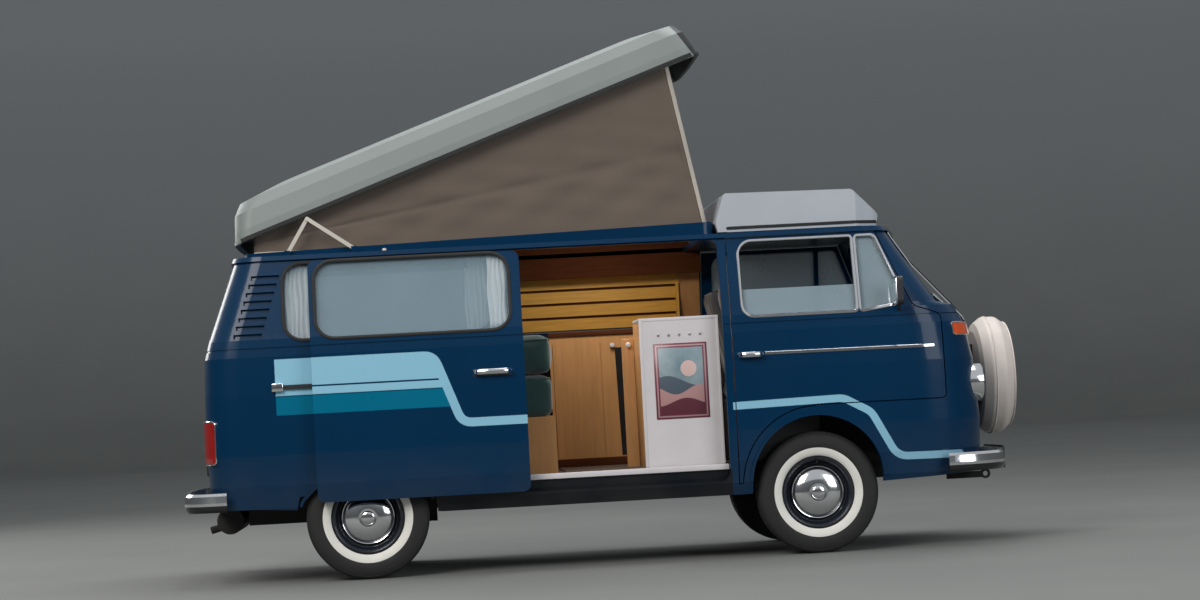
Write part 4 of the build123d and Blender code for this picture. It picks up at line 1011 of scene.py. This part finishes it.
def cushion(name, low, high, material, seams, voxel, turn=Matrix()):
    """Padded block, swollen by air, flat where it rests, with sewn channels and a welt round its top."""
    low, high = Vector(low), Vector(high)
    inner_low = low + Vector((PAD_SWELL, PAD_SWELL, 0.002))
    inner_high = high - Vector((PAD_SWELL, PAD_SWELL, PAD_SWELL))
    round_r = min(0.032, (inner_high - inner_low).z * 0.4)
    obj = add_piece(name, block(name, inner_low, inner_high, round_r, 4), material)
    pieces = [obj]
    inflate(obj, voxel, PAD_SWELL)
    sew(obj, low, high, seams)
    obj.data.shade_smooth()
    pieces.append(welt(obj, low, high, material))
    for piece in pieces:
        piece.data.transform(turn)
    soft = obj.modifiers.new("smooth", "SUBSURF")
    soft.levels = soft.render_levels = 1
    return obj


BENCH_HALF = 0.548
BENCH_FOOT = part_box("bench_base")[1].z + 0.001


def bench():
    seat = cushion("bench_seat", (-0.960, -BENCH_HALF, BENCH_FOOT), (-0.265, BENCH_HALF, 1.035), "green",
                   [(1, 0.0)], 0.022)
    folded_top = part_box("bench_cushions")[1].z - 0.001
    for name, low, high, half, seam in (
            ("bench_folded_pad", (-0.640, 1.040), (-0.267, folded_top), 0.546, (1, 0.0)),
            ("bench_back", (-1.146, 0.824), (-0.966, 1.240), BENCH_HALF, (1, 0.0)),
            ("deck_pad", (-2.060, 0.824), (-1.156, 0.910), 0.540, (0, -1.6))):
        cushion(name, (low[0], -half, low[1]), (high[0], half, high[1]), "green", [seam], 0.020)
    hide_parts("bench_cushions")


SEAT_Y, SEAT_HALF, SEAT_BOX_HALF, SEAT_SEAM = 0.4, 0.25, 0.23, 0.15
SEAT_BOX_X, SEAT_BOX_Z = (0.716, 1.150), (0.500, 0.846)
SEAT_X, SEAT_Z = (0.720, 1.190), (0.848, 0.958)
BACK_THICK, BACK_TALL = 0.055, 0.28  # half of each
BACK_MIDDLE, BACK_LEAN = (0.760, 0, 1.220), math.radians(-12)


def front_seats():
    lean = Matrix.Translation(BACK_MIDDLE) @ Matrix.Rotation(BACK_LEAN, 4, "Y")
    for side, tag in SIDES:
        y = side * SEAT_Y
        y0, y1 = y - SEAT_HALF, y + SEAT_HALF
        seams = [(1, y - SEAT_SEAM), (1, y + SEAT_SEAM)]
        box_low, box_high = zip(SEAT_BOX_X, (y - SEAT_BOX_HALF, y + SEAT_BOX_HALF), SEAT_BOX_Z)
        slab("seat_box_" + tag, box_low, box_high, "black", 0.012)
        seat = cushion("seat_cushion_" + tag, *zip(SEAT_X, (y0, y1), SEAT_Z), "seat", seams, 0.014)
        if side < 0:
            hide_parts("front_seats")
        cushion("seat_back_" + tag, (-BACK_THICK, y0, -BACK_TALL), (BACK_THICK, y1, BACK_TALL), "seat", seams,
                0.014, lean)


# White cabinet and kitchen side.
CAB_LOW, CAB_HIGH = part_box("white_cabinet")
KITCHEN_LOW, KITCHEN_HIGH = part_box("kitchen_unit")
DOT = [(0.0, 0.004), (0.006, 0.004), (0.0075, 0.0025), (0.0075, -0.001)]
DOTS, DOT_Z = 5, 1.205
KNOB = [(0.0, 0.026), (0.010, 0.025), (0.014, 0.019), (0.012, 0.011), (0.006, 0.006), (0.006, -0.001)]
WING_Y = CAB_HIGH.y - 0.018
WALL_Z, WALL_SLOPE = 1.296, 0.222
GAP_X = 0.144
HEADER = ((-0.480, 0.560, 1.590), (0.662, 0.578, 1.776))
KNOB_X, KNOB_Z, WING_KNOB_Z = 0.100, 1.185, 1.170


def cabinet_dress():
    """Dots, generic poster and edge strips on the white cabinet's outer face."""
    face = CAB_LOW.y
    (x0, x1), (z0, z1) = POSTER_X, POSTER_Z
    slab("poster_mount", (x0, face - 0.0035, z0), (x1, face + 0.001, z1), "poster", 0.001, 1)
    for k in range(DOTS):
        x = x0 + 0.002 + (x1 - x0 - 0.004) * (k + 0.5) / DOTS
        lathe("cabinet_dot_" + str(k), DOT, Vector((x, face, DOT_Z)), "y", -1, "dull_metal", steps=20)
    for name, low, high, material, bevel, segments in (
            ("edge_rear", (CAB_LOW.x - 0.002, face - 0.003, CAB_LOW.z + 0.004),
             (CAB_LOW.x + 0.014, face + 0.01, CAB_HIGH.z), "board", 0.002, 3),
            ("edge_front", (CAB_HIGH.x - 0.012, face - 0.003, CAB_LOW.z + 0.004),
             (CAB_HIGH.x + 0.001, face + 0.01, CAB_HIGH.z), "board", 0.002, 3),
            ("top", (CAB_LOW.x - 0.003, face - 0.002, CAB_HIGH.z - 0.018),
             (CAB_HIGH.x + 0.002, CAB_HIGH.y, CAB_HIGH.z - 0.0005), "board", 0.003, 3),
            ("side", (CAB_LOW.x - 0.004, face + 0.014, CAB_LOW.z + 0.004),
             (CAB_LOW.x + 0.001, CAB_HIGH.y, CAB_HIGH.z - 0.022), "tan", 0.001, 1),
            ("wing", (CAB_LOW.x - 0.072, WING_Y, CAB_LOW.z + 0.002), (CAB_LOW.x - 0.004, CAB_HIGH.y, DOT_Z),
             "tan", 0.003, 3)):
        slab("cabinet_" + name, low, high, material, bevel, segments)


def stack(name, levels, material):
    """Piece through level sections, each (x from, x to, y from, y to, z)."""
    verts = []
    for x0, x1, y0, y1, z in levels:
        verts += [(x0, y0, z), (x1, y0, z), (x1, y1, z), (x0, y1, z)]
    mesh_piece(name, verts, tube_faces(len(levels), 4), material, sharp=None)


def on_wall(name, x0, x1, y, thick, heights, material):
    """Thin piece that leans as the van's wall does; y is its inner face at WALL_Z."""
    places = [(y - (z - WALL_Z) * WALL_SLOPE, z) for z in heights]
    stack(name, [(x0, x1, at, at + thick, z) for at, z in places], material)


def kitchen_dress():
    """Dark header and worktop edge, painted shade in the doors' gap, knobs and plinth of the kitchen side."""
    face = KITCHEN_LOW.y
    on_wall("blind_backing", -0.438, 0.532, 0.7765, 0.002, (1.292, 1.500, 1.690), "dark_wood")
    on_wall("blind_lining", 0.548, 0.662, 0.7680, 0.003, (1.270, 1.620), "tan")
    slab("header_board", *HEADER, "dark_wood", 0.003)
    slab("worktop_edge", (KITCHEN_LOW.x - 0.004, face - 0.010, KITCHEN_HIGH.z - 0.016),
         (KITCHEN_HIGH.x, face + 0.030, KITCHEN_HIGH.z + 0.010), "dark_wood", 0.003)
    slab("kitchen_plinth", (KITCHEN_LOW.x - 0.002, face - 0.003, KITCHEN_LOW.z + 0.003),
         (KITCHEN_HIGH.x, face + 0.002, KITCHEN_LOW.z + 0.052), "dark_wood", 0.001)
    # painted shade: a near-black strip stands for the dark gap between the doors
    stack("kitchen_gap", [(GAP_X - half, GAP_X + half, face - 0.0015, face + 0.001, z)
                          for z, half in ((0.560, 0.018), (1.172, 0.031))], "gap_shade")
    for k, place in enumerate(((KNOB_X, face, KNOB_Z), (CAB_LOW.x - 0.036, WING_Y, WING_KNOB_Z))):
        lathe("kitchen_knob_%d" % k, KNOB, Vector(place), "y", -1, "board", steps=24)


# Ends of the van.
LAMP_X, LAMP_SIZE = 1.950, 0.196
LAMP_RING = [(0.097, 0.010), (0.0985, 0.040), (0.0985, 0.076), (0.096, 0.086), (0.090, 0.090), (0.084, 0.084),
             (0.083, 0.074), (0.088, 0.070), (0.094, 0.060), (0.094, 0.010)]
LAMP_BOWL = [(0.0, 0.030), (0.030, 0.034), (0.060, 0.048), (0.084, 0.074)]
LAMP_LENS = [(0.0, 0.0995), (0.02, 0.099), (0.04, 0.097), (0.06, 0.0925), (0.076, 0.086), (0.0845, 0.078)]
LAMP_BULB = [(0.0, 0.064), (0.008, 0.062), (0.011, 0.054), (0.010, 0.036)]
GATE_BUTTON = [(0.0, 0.030), (0.014, 0.029), (0.018, 0.024), (0.018, 0.010), (0.028, 0.008), (0.030, -0.004)]
LID_BUTTON = [(0.0, 0.020), (0.012, 0.019), (0.015, 0.008), (0.022, 0.006), (0.024, -0.004)]
PIVOT = [(0.0, 0.028), (0.012, 0.026), (0.016, 0.0), (0.016, -0.02)]
BOLT = [(0.0, 0.0065), (0.006, 0.006), (0.011, 0.0035), (0.013, -0.002)]


def lamps():
    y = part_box("headlamps")[1].y - LAMP_SIZE / 2
    for side, tag in SIDES:
        centre = Vector((LAMP_X, side * y, middle("headlamps").z))
        ring = lathe("lamp_ring_" + tag, LAMP_RING, centre, "x", 1, "chrome", closed=True)
        if side < 0:
            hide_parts("headlamps")
        lathe("lamp_bowl_" + tag, LAMP_BOWL, centre, "x", 1, "mirror")
        lathe("lamp_lens_" + tag, LAMP_LENS, centre, "x", 1, "lens")
        lathe("lamp_bulb_" + tag, LAMP_BULB, centre, "x", 1, "board", steps=20)


def end_frames():
    """Bright frames round the indicators and the tail lamps."""
    front = skin_tree("front_panel")
    rear = skin_tree("rear_panel", "side_panel_right", "side_panel_left")
    for name, tree, sign, ys, zs, r in (("indicator", front, 1, (0.608, 0.776), (1.128, 1.192), 0.012),
                                        ("tail", rear, -1, (0.686, 0.810), (0.648, 0.872), 0.02)):
        for side, tag in SIDES:
            y0, y1 = sorted(side * y for y in ys)
            places = on_end(tree, outline(rectangle(y0, zs[0], y1, zs[1], r), 0.02), sign)
            sweep(name + "_frame_" + tag, places, flat_bar(0.009, 0.012), "chrome")


PLATE_HALF = (0.260, 0.057)


def plate(name, x, z, sign, body="van"):
    """Blank plate in a dark frame."""
    w, h = PLATE_HALF
    slab(name, (x, -w, z - h), (x + sign * 0.006, w, z + h), "board", 0.002, body=body)
    rim = outline(rectangle(-w, z - h, w, z + h, 0.01), 0.05)
    places = [(Vector((x + sign * 0.003, *p)), X * sign) for p in rim]
    sweep(name + "_frame", places, flat_bar(0.010, 0.008), "black", body)


WIPER_Y, WIPER_REACH = (-0.02, 0.56), 0.42


def wipers():
    tree = skin_tree("windscreen", "front_panel")
    for k, y in enumerate(WIPER_Y):
        tip_y = y - WIPER_REACH
        blade = [(tip_y - 0.02, 1.350), (tip_y + 0.40, 1.366)]
        arm = [(y, 1.315), ((y + tip_y) / 2, 1.332), (tip_y + 0.19, 1.360)]
        for part, run, out, profile, material in (
                ("blade", blade, 0.012, flat_bar(0.009, 0.012, 0.008), "black"),
                ("arm", arm, 0.020, circle(10, 0.005), "dull_metal")):
            places = [(p + n * out, n) for p, n in on_end(tree, line(run), 1)]
            sweep("wiper_%s_%d" % (part, k), places, profile, material, closed=False)
        lathe("wiper_pivot_%d" % k, PIVOT, end_spot(tree, *arm[0], 1), "x", 1, "dull_metal", steps=24)


def spare_cover_trim():
    low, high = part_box("spare_wheel_cover")
    centre = Z * (low.z + high.z) / 2
    for tag, r, x in (("front", 0.292, high.x - 0.011), ("rim", 0.3275, low.x + 0.075)):
        lathe("cover_piping_" + tag, circle(10, 0.0045, r, x), centre, "x", 1, "vinyl", steps=120,
              closed=True)


MIRROR_Y = (0.872, 0.978)


def mirrors():
    for side, tag in SIDES:
        low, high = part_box("mirror_" + tag)
        slab("mirror_glass_" + tag, (low.x - 0.0015, side * MIRROR_Y[0], high.z - 0.142),
             (low.x + 0.002, side * MIRROR_Y[1], high.z - 0.008), "mirror", 0.001, 1, "door_" + tag)


GATE_BUTTON_Z, LID_BUTTON_Z, REAR_PLATE_Z, PLATE_LAMP_Z = 1.010, 0.812, 0.640, 0.716
PLATE_LAMP_Y = (-0.10, 0.0, 0.10)
FRONT_PLATE_X, FRONT_PLATE_Z = 2.203, 0.446


def rear_trim():
    """Buttons of the tailgate and the engine lid, the plate and its lamp."""
    gate = end_spot(skin_tree("tailgate"), 0, GATE_BUTTON_Z, -1)
    lathe("gate_button", GATE_BUTTON, gate, "x", -1, "chrome", "gate", steps=40)
    lid = end_spot(skin_tree("engine_lid"), 0, LID_BUTTON_Z, -1)
    lathe("lid_button", LID_BUTTON, lid, "x", -1, "chrome", "lid", steps=40)
    lid_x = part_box("engine_lid")[0].x
    plate("rear_plate", lid_x - 0.004, REAR_PLATE_Z, -1, "lid")
    hood = [(Vector((lid_x - 0.012, y, PLATE_LAMP_Z)), Vector((-1, 0, 0.4))) for y in PLATE_LAMP_Y]
    sweep("plate_lamp", hood, flat_bar(0.034, 0.030, 0.016), "chrome", "lid", closed=False)


SILL_STRIP = ((-0.503, -0.803, 0.474), (0.623, -0.776, 0.5035))


def doorway_trim():
    slab("sill_strip", *SILL_STRIP, "board", 0.003)
    low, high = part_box("slide_rail")
    slab("rail_end_cap", (low.x - 0.022, low.y - 0.004, low.z - 0.006),
         (low.x + 0.040, low.y + 0.020, high.z + 0.006), "chrome", 0.006)


GATE_OPENING = trapezoid(0.609, 0.563, 0.903, 1.689, 0.057, 0.087)
GATE_GAP_OUT, GATE_GAP_DEEP = 1.03, 0.020


def gate_gap():
    """Dark strip down in the gap round the tailgate, so that no light comes through it."""
    tree = skin_tree("rear_panel")
    run = outline(GATE_OPENING)
    centre = sum(run, Vector((0, 0))) / len(run)
    places = []
    for p in run:
        hit, normal = on_end(tree, [centre + (p - centre) * GATE_GAP_OUT], -1)[0]
        places.append((Vector((hit.x + GATE_GAP_DEEP, *p)), normal))
    sweep("gate_gap", places, flat_bar(0.0052, 0.008), "rubber")


BOLT_Y, BOLT_UP = 0.470, 0.008


def bumper_bolts():
    for tag, sign in (("front", 1), ("rear", -1)):
        node = tag + "_bumper"
        for k, y in enumerate((-BOLT_Y, BOLT_Y)):
            place = end_spot(skin_tree(node), y, middle(node).z + BOLT_UP, sign)
            lathe("bumper_bolt_%s_%d" % (tag, k), BOLT, place, "x", sign, "chrome", steps=24)


# Dashboard and the doors' insides.
DIAL_Z = 1.205
DIALS = [("clock", 0.515, 0.044), ("speed", 0.390, 0.060), ("fuel", 0.265, 0.044)]  # name, y, radius
DASH_FRAMES = [("glovebox_edge", -0.640, 1.130, -0.290, 1.240), ("radio_edge", -0.070, 1.175, 0.110, 1.235)]
GLOVEBOX_KNOB_AT = (-0.465, 1.218)
GLOVEBOX_KNOB = [(0.0, 0.016), (0.009, 0.015), (0.011, 0.010), (0.007, 0.004), (0.007, -0.002)]


def dial_marks(name, centre, r):
    """Pale bars round a dial, each a thin box of two layers."""
    verts, faces = [], []
    for a in [math.radians(-135 + 270 * share) for share in shares(8)]:
        u = Vector((0, math.sin(a), math.cos(a)))
        v = Vector((0, math.cos(a), -math.sin(a)))
        faces += shifted(tube_faces(2, 4), len(verts))
        for out in (0.0018, 0.0032):
            for along, across in ((0.66, -1), (0.66, 1), (0.80, 1), (0.80, -1)):
                verts.append(centre + u * r * along + v * 0.0012 * across - X * out)
    mesh_piece(name, verts, faces, "board", sharp=None)


def dash_dress():
    """Dials, glovebox lid and radio blank on the dashboard's face."""
    tree = skin_tree("dashboard")
    for name, y, r in DIALS:
        centre = end_spot(tree, y, DIAL_Z, -1, AT_DASH)
        face = [(0.0, 0.002), (r * 0.86, 0.002), (r * 0.90, 0.006), (r, 0.006), (r * 1.04, -0.006)]
        lathe("dial_" + name, face, centre, "x", -1, "black", steps=48)
        bezel = circle(8, 0.0022, r * 0.93, 0.0065)
        lathe("dial_bezel_" + name, bezel, centre, "x", -1, "chrome", steps=48, closed=True)
        dial_marks("dial_marks_" + name, centre, r)
    for name, *corners in DASH_FRAMES:
        places = on_end(tree, outline(rectangle(*corners, 0.012), 0.02), -1, AT_DASH)
        sweep(name, places, flat_bar(0.005, 0.003), "dull_metal")
    knob = end_spot(tree, *GLOVEBOX_KNOB_AT, -1, AT_DASH)
    lathe("glovebox_knob", GLOVEBOX_KNOB, knob, "x", -1, "chrome", steps=24)


CARD_X, CARD_Z = (0.765, 1.640), (0.830, 1.225)
CARD_ACROSS, CARD_UP = 14, 8
ARMREST_AT, WINDER_AT, RELEASE_AT = (1.100, 0.960), (1.330, 0.985), (1.000, 1.060)
ARMREST_X, ARMREST_Z, ARMREST_DEEP = (0.960, 1.230), (0.935, 0.975), 0.052
HUB = [(0.0, 0.024), (0.012, 0.023), (0.016, 0.012), (0.018, -0.001)]
CRANK_KNOB = [(0.0, 0.026), (0.010, 0.024), (0.012, 0.014), (0.008, 0.002)]


def door_card(tag, inner, inward):
    """Trim card of two layers, puffed up inside its edge."""
    row, size = CARD_ACROSS + 1, (CARD_ACROSS + 1) * (CARD_UP + 1)
    verts = []
    for lift in (-0.002, 0.004):
        for v in shares(CARD_UP):
            for u in shares(CARD_ACROSS):
                edge = min(u, 1 - u, v * 0.45, (1 - v) * 0.45)
                puff = lift * min(1.0, edge / 0.03) if lift > 0 else lift
                x = CARD_X[0] + (CARD_X[1] - CARD_X[0]) * u
                z = CARD_Z[0] + (CARD_Z[1] - CARD_Z[0]) * v
                verts.append(inner(x, z) + inward * (puff + 0.0005))
    face = grid_faces(CARD_UP + 1, row)
    rim = [j * row for j in range(CARD_UP + 1)] + [CARD_UP * row + i for i in range(1, row)]
    rim += [j * row + CARD_ACROSS for j in range(CARD_UP - 1, -1, -1)] + list(range(CARD_ACROSS - 1, 0, -1))
    sides = [(a, b, size + b, size + a) for a, b in zip(rim, rim[1:] + rim[:1])]
    mesh_piece("door_card_" + tag, verts, face + shifted(face, size) + sides, "card", "door_" + tag)


def door_insides():
    """Trim card, armrest, window winder and release on the inner face of each cab door."""
    for side, tag in SIDES:
        tree = skin_tree("cab_door_" + tag)
        body = "door_" + tag
        inward = -Y * side

        def inner(x, z):
            return on_skin(tree, [Vector((x, side * 0.7, z))], inward)[0][0]

        door_card(tag, inner, inward)
        y = inner(*ARMREST_AT).y
        low, high = zip(ARMREST_X, (y, y - side * ARMREST_DEEP), ARMREST_Z)
        slab("armrest_" + tag, low, high, "black", 0.014, 4, body)
        hub = inner(*WINDER_AT)
        lathe("winder_hub_" + tag, HUB, hub, "y", -side, "chrome", body, steps=28)
        arm = [hub + inward * 0.019, hub + inward * 0.023 + Vector((0.050, 0, -0.050))]
        places = [(p, inward) for p in arm]
        sweep("winder_arm_" + tag, places, flat_bar(0.013, 0.005), "chrome", body, closed=False)
        lathe("winder_knob_" + tag, CRANK_KNOB, arm[1], "y", -side, "black", body, steps=24)
        pull = inner(*RELEASE_AT)
        bow = [(pull + inward * out + X * ahead, Vector((0, 0.001, 1)))
               for out, ahead in ((0, 0), (0.018, 0.008), (0.020, 0.085), (0.012, 0.098))]
        sweep("release_" + tag, bow, flat_bar(0.006, 0.012, 0.008), "chrome", body, closed=False)


# Curtains.
CURTAIN_ROWS = 14


def curtain(name, xs, zs, ys, side, folds, depth=1.0):
    """Gathered curtain inside a window, hung from its rail; xs, zs and ys run from foot to top."""
    (x0, x1), (z0, z1), (y_low, y_high) = xs, zs, ys
    n = folds * 12
    verts = []
    for t in shares(CURTAIN_ROWS):
        for s in shares(n):
            wave = math.sin(2 * math.pi * folds * s + 0.6 * math.sin(3 * t)) * (0.010 + 0.006 * t) * depth
            wave += 0.003 * math.sin(2 * math.pi * folds * 2.3 * s + 1.7) * depth
            x = x0 + (x1 - x0) * s + 0.004 * math.sin(9 * t + 5 * s)
            verts.append(Vector((x, side * (y_high + (y_low - y_high) * t - wave), z1 + (z0 - z1) * t)))
    obj = mesh_piece(name, verts, grid_faces(CURTAIN_ROWS + 1, n + 1), "curtain")
    thicken(obj, 0.0012)


def curtains():
    curtain("curtain_slid_door", (-0.612, -0.516), (1.292, 1.680), (0.861, 0.775), -1, 4, 0.45)
    for side, tag in SIDES:
        for place, xs in (("front", (-0.715, -0.590)), ("rear", (-1.700, -1.560))):
            curtain("curtain_" + place + "_" + tag, xs, (1.270, 1.690), (0.784, 0.696), side, 5)


window_seals()
side_trim()
for wheel_tag, (wheel_body, wheel_side) in WHEEL_BODIES.items():
    tyre(wheel_tag, wheel_body, wheel_side)
    wheel(wheel_tag, wheel_body, wheel_side)
canvas_sheet()
shell_trim()
roof_bits()
bench()
front_seats()
cabinet_dress()
kitchen_dress()
lamps()
end_frames()
wipers()
spare_cover_trim()
mirrors()
rear_trim()
doorway_trim()
gate_gap()
bumper_bolts()
dash_dress()
door_insides()
curtains()
plate("front_plate", FRONT_PLATE_X, FRONT_PLATE_Z, 1)


# Camera at the photograph's place, rolled so that the nose points up as it does there.
CAMERA_PLACE = Vector((-0.914, -15.66, 0.89))
CAMERA_AIM = Vector((0.0, -0.5, 1.42))
CAMERA_ROLL = math.radians(-3.1)


def facing(place, aim):
    return (aim - place).to_track_quat("-Z", "Y").to_matrix().to_4x4()


def add_camera():
    data = bpy.data.cameras.new("camera")
    data.lens = 84.0
    data.sensor_width = 36.0
    camera = add_object("camera", data)
    camera.location = CAMERA_PLACE
    turned = facing(CAMERA_PLACE, CAMERA_AIM) @ Matrix.Rotation(CAMERA_ROLL, 4, "Z")
    camera.rotation_euler = turned.to_euler()
    bpy.context.scene.camera = camera
    bpy.context.scene.view_settings.view_transform = "Standard"


# Studio: grey floor that sweeps up into a round backdrop, soft lights.
FLOOR_R, BEND_R, WALL_TOP = 36.0, 8.0, 15.0
STUDIO_STEPS, BEND_STEPS = 96, 12
LIGHTS = [  # name, place, aim, power, width, colour
    ("key", (-6.0, -9.0, 8.0), (0, 0, 1), 1000, 6.0, (1.0, 0.97, 0.93)),
    ("fill", (7.0, -8.0, 4.0), (0.5, 0, 1), 330, 5.0, (0.93, 0.96, 1.0)),
    ("top", (0.0, 1.5, 9.0), (0, 0, 1), 560, 7.0, (1.0, 1.0, 1.0)),
    ("back", (-8.0, 7.0, 4.5), (-1, 0, 1.2), 330, 4.0, (1.0, 0.98, 0.95)),
    ("cabin", (0.05, -0.30, 1.82), (0.05, 0.02, 0.80), 8, 0.3, (1.0, 0.93, 0.84)),
]


def studio():
    s = Surface("studio_pale")
    floor = s.mix(s.tone(0.6), (0.135, 0.14, 0.135), (0.155, 0.16, 0.15))
    s.shade(color=s.mix(s.spread(s.axes()[2], 0.2, 9.0), floor, (0.40, 0.41, 0.42)), rough=0.9)
    rows = [(0.0, 0.0), (12.0, 0.0), (24.0, 0.0)]
    for a in [math.pi / 2 * share for share in shares(BEND_STEPS)]:
        rows.append((FLOOR_R + BEND_R * math.sin(a), BEND_R - BEND_R * math.cos(a)))
    rows.append((FLOOR_R + BEND_R, WALL_TOP))
    mesh = bpy.data.meshes.new("studio")
    verts = [(r * c, r * s, z) for r, z in rows for c, s in circle(STUDIO_STEPS)]
    mesh.from_pydata(verts, [], grid_faces(len(rows), STUDIO_STEPS, False, True))
    mesh.shade_smooth()
    mesh.materials.append(s.mat)
    face_outward(mesh, weld=True)
    add_object("studio", mesh)


def lights():
    world = bpy.data.worlds.new("world")
    bpy.context.scene.world = world
    world.use_nodes = True
    sky = world.node_tree.nodes["Background"].inputs
    sky[0].default_value = (0.88, 0.92, 0.96, 1)
    sky[1].default_value = 0.5
    for name, place, aim, power, width, color in LIGHTS:
        data = bpy.data.lights.new(name, "AREA")
        data.energy, data.size, data.color = power, width, color
        lamp = add_object(name, data)
        lamp.location = place
        lamp.rotation_euler = facing(Vector(place), Vector(aim)).to_euler()


add_camera()
studio()
lights()
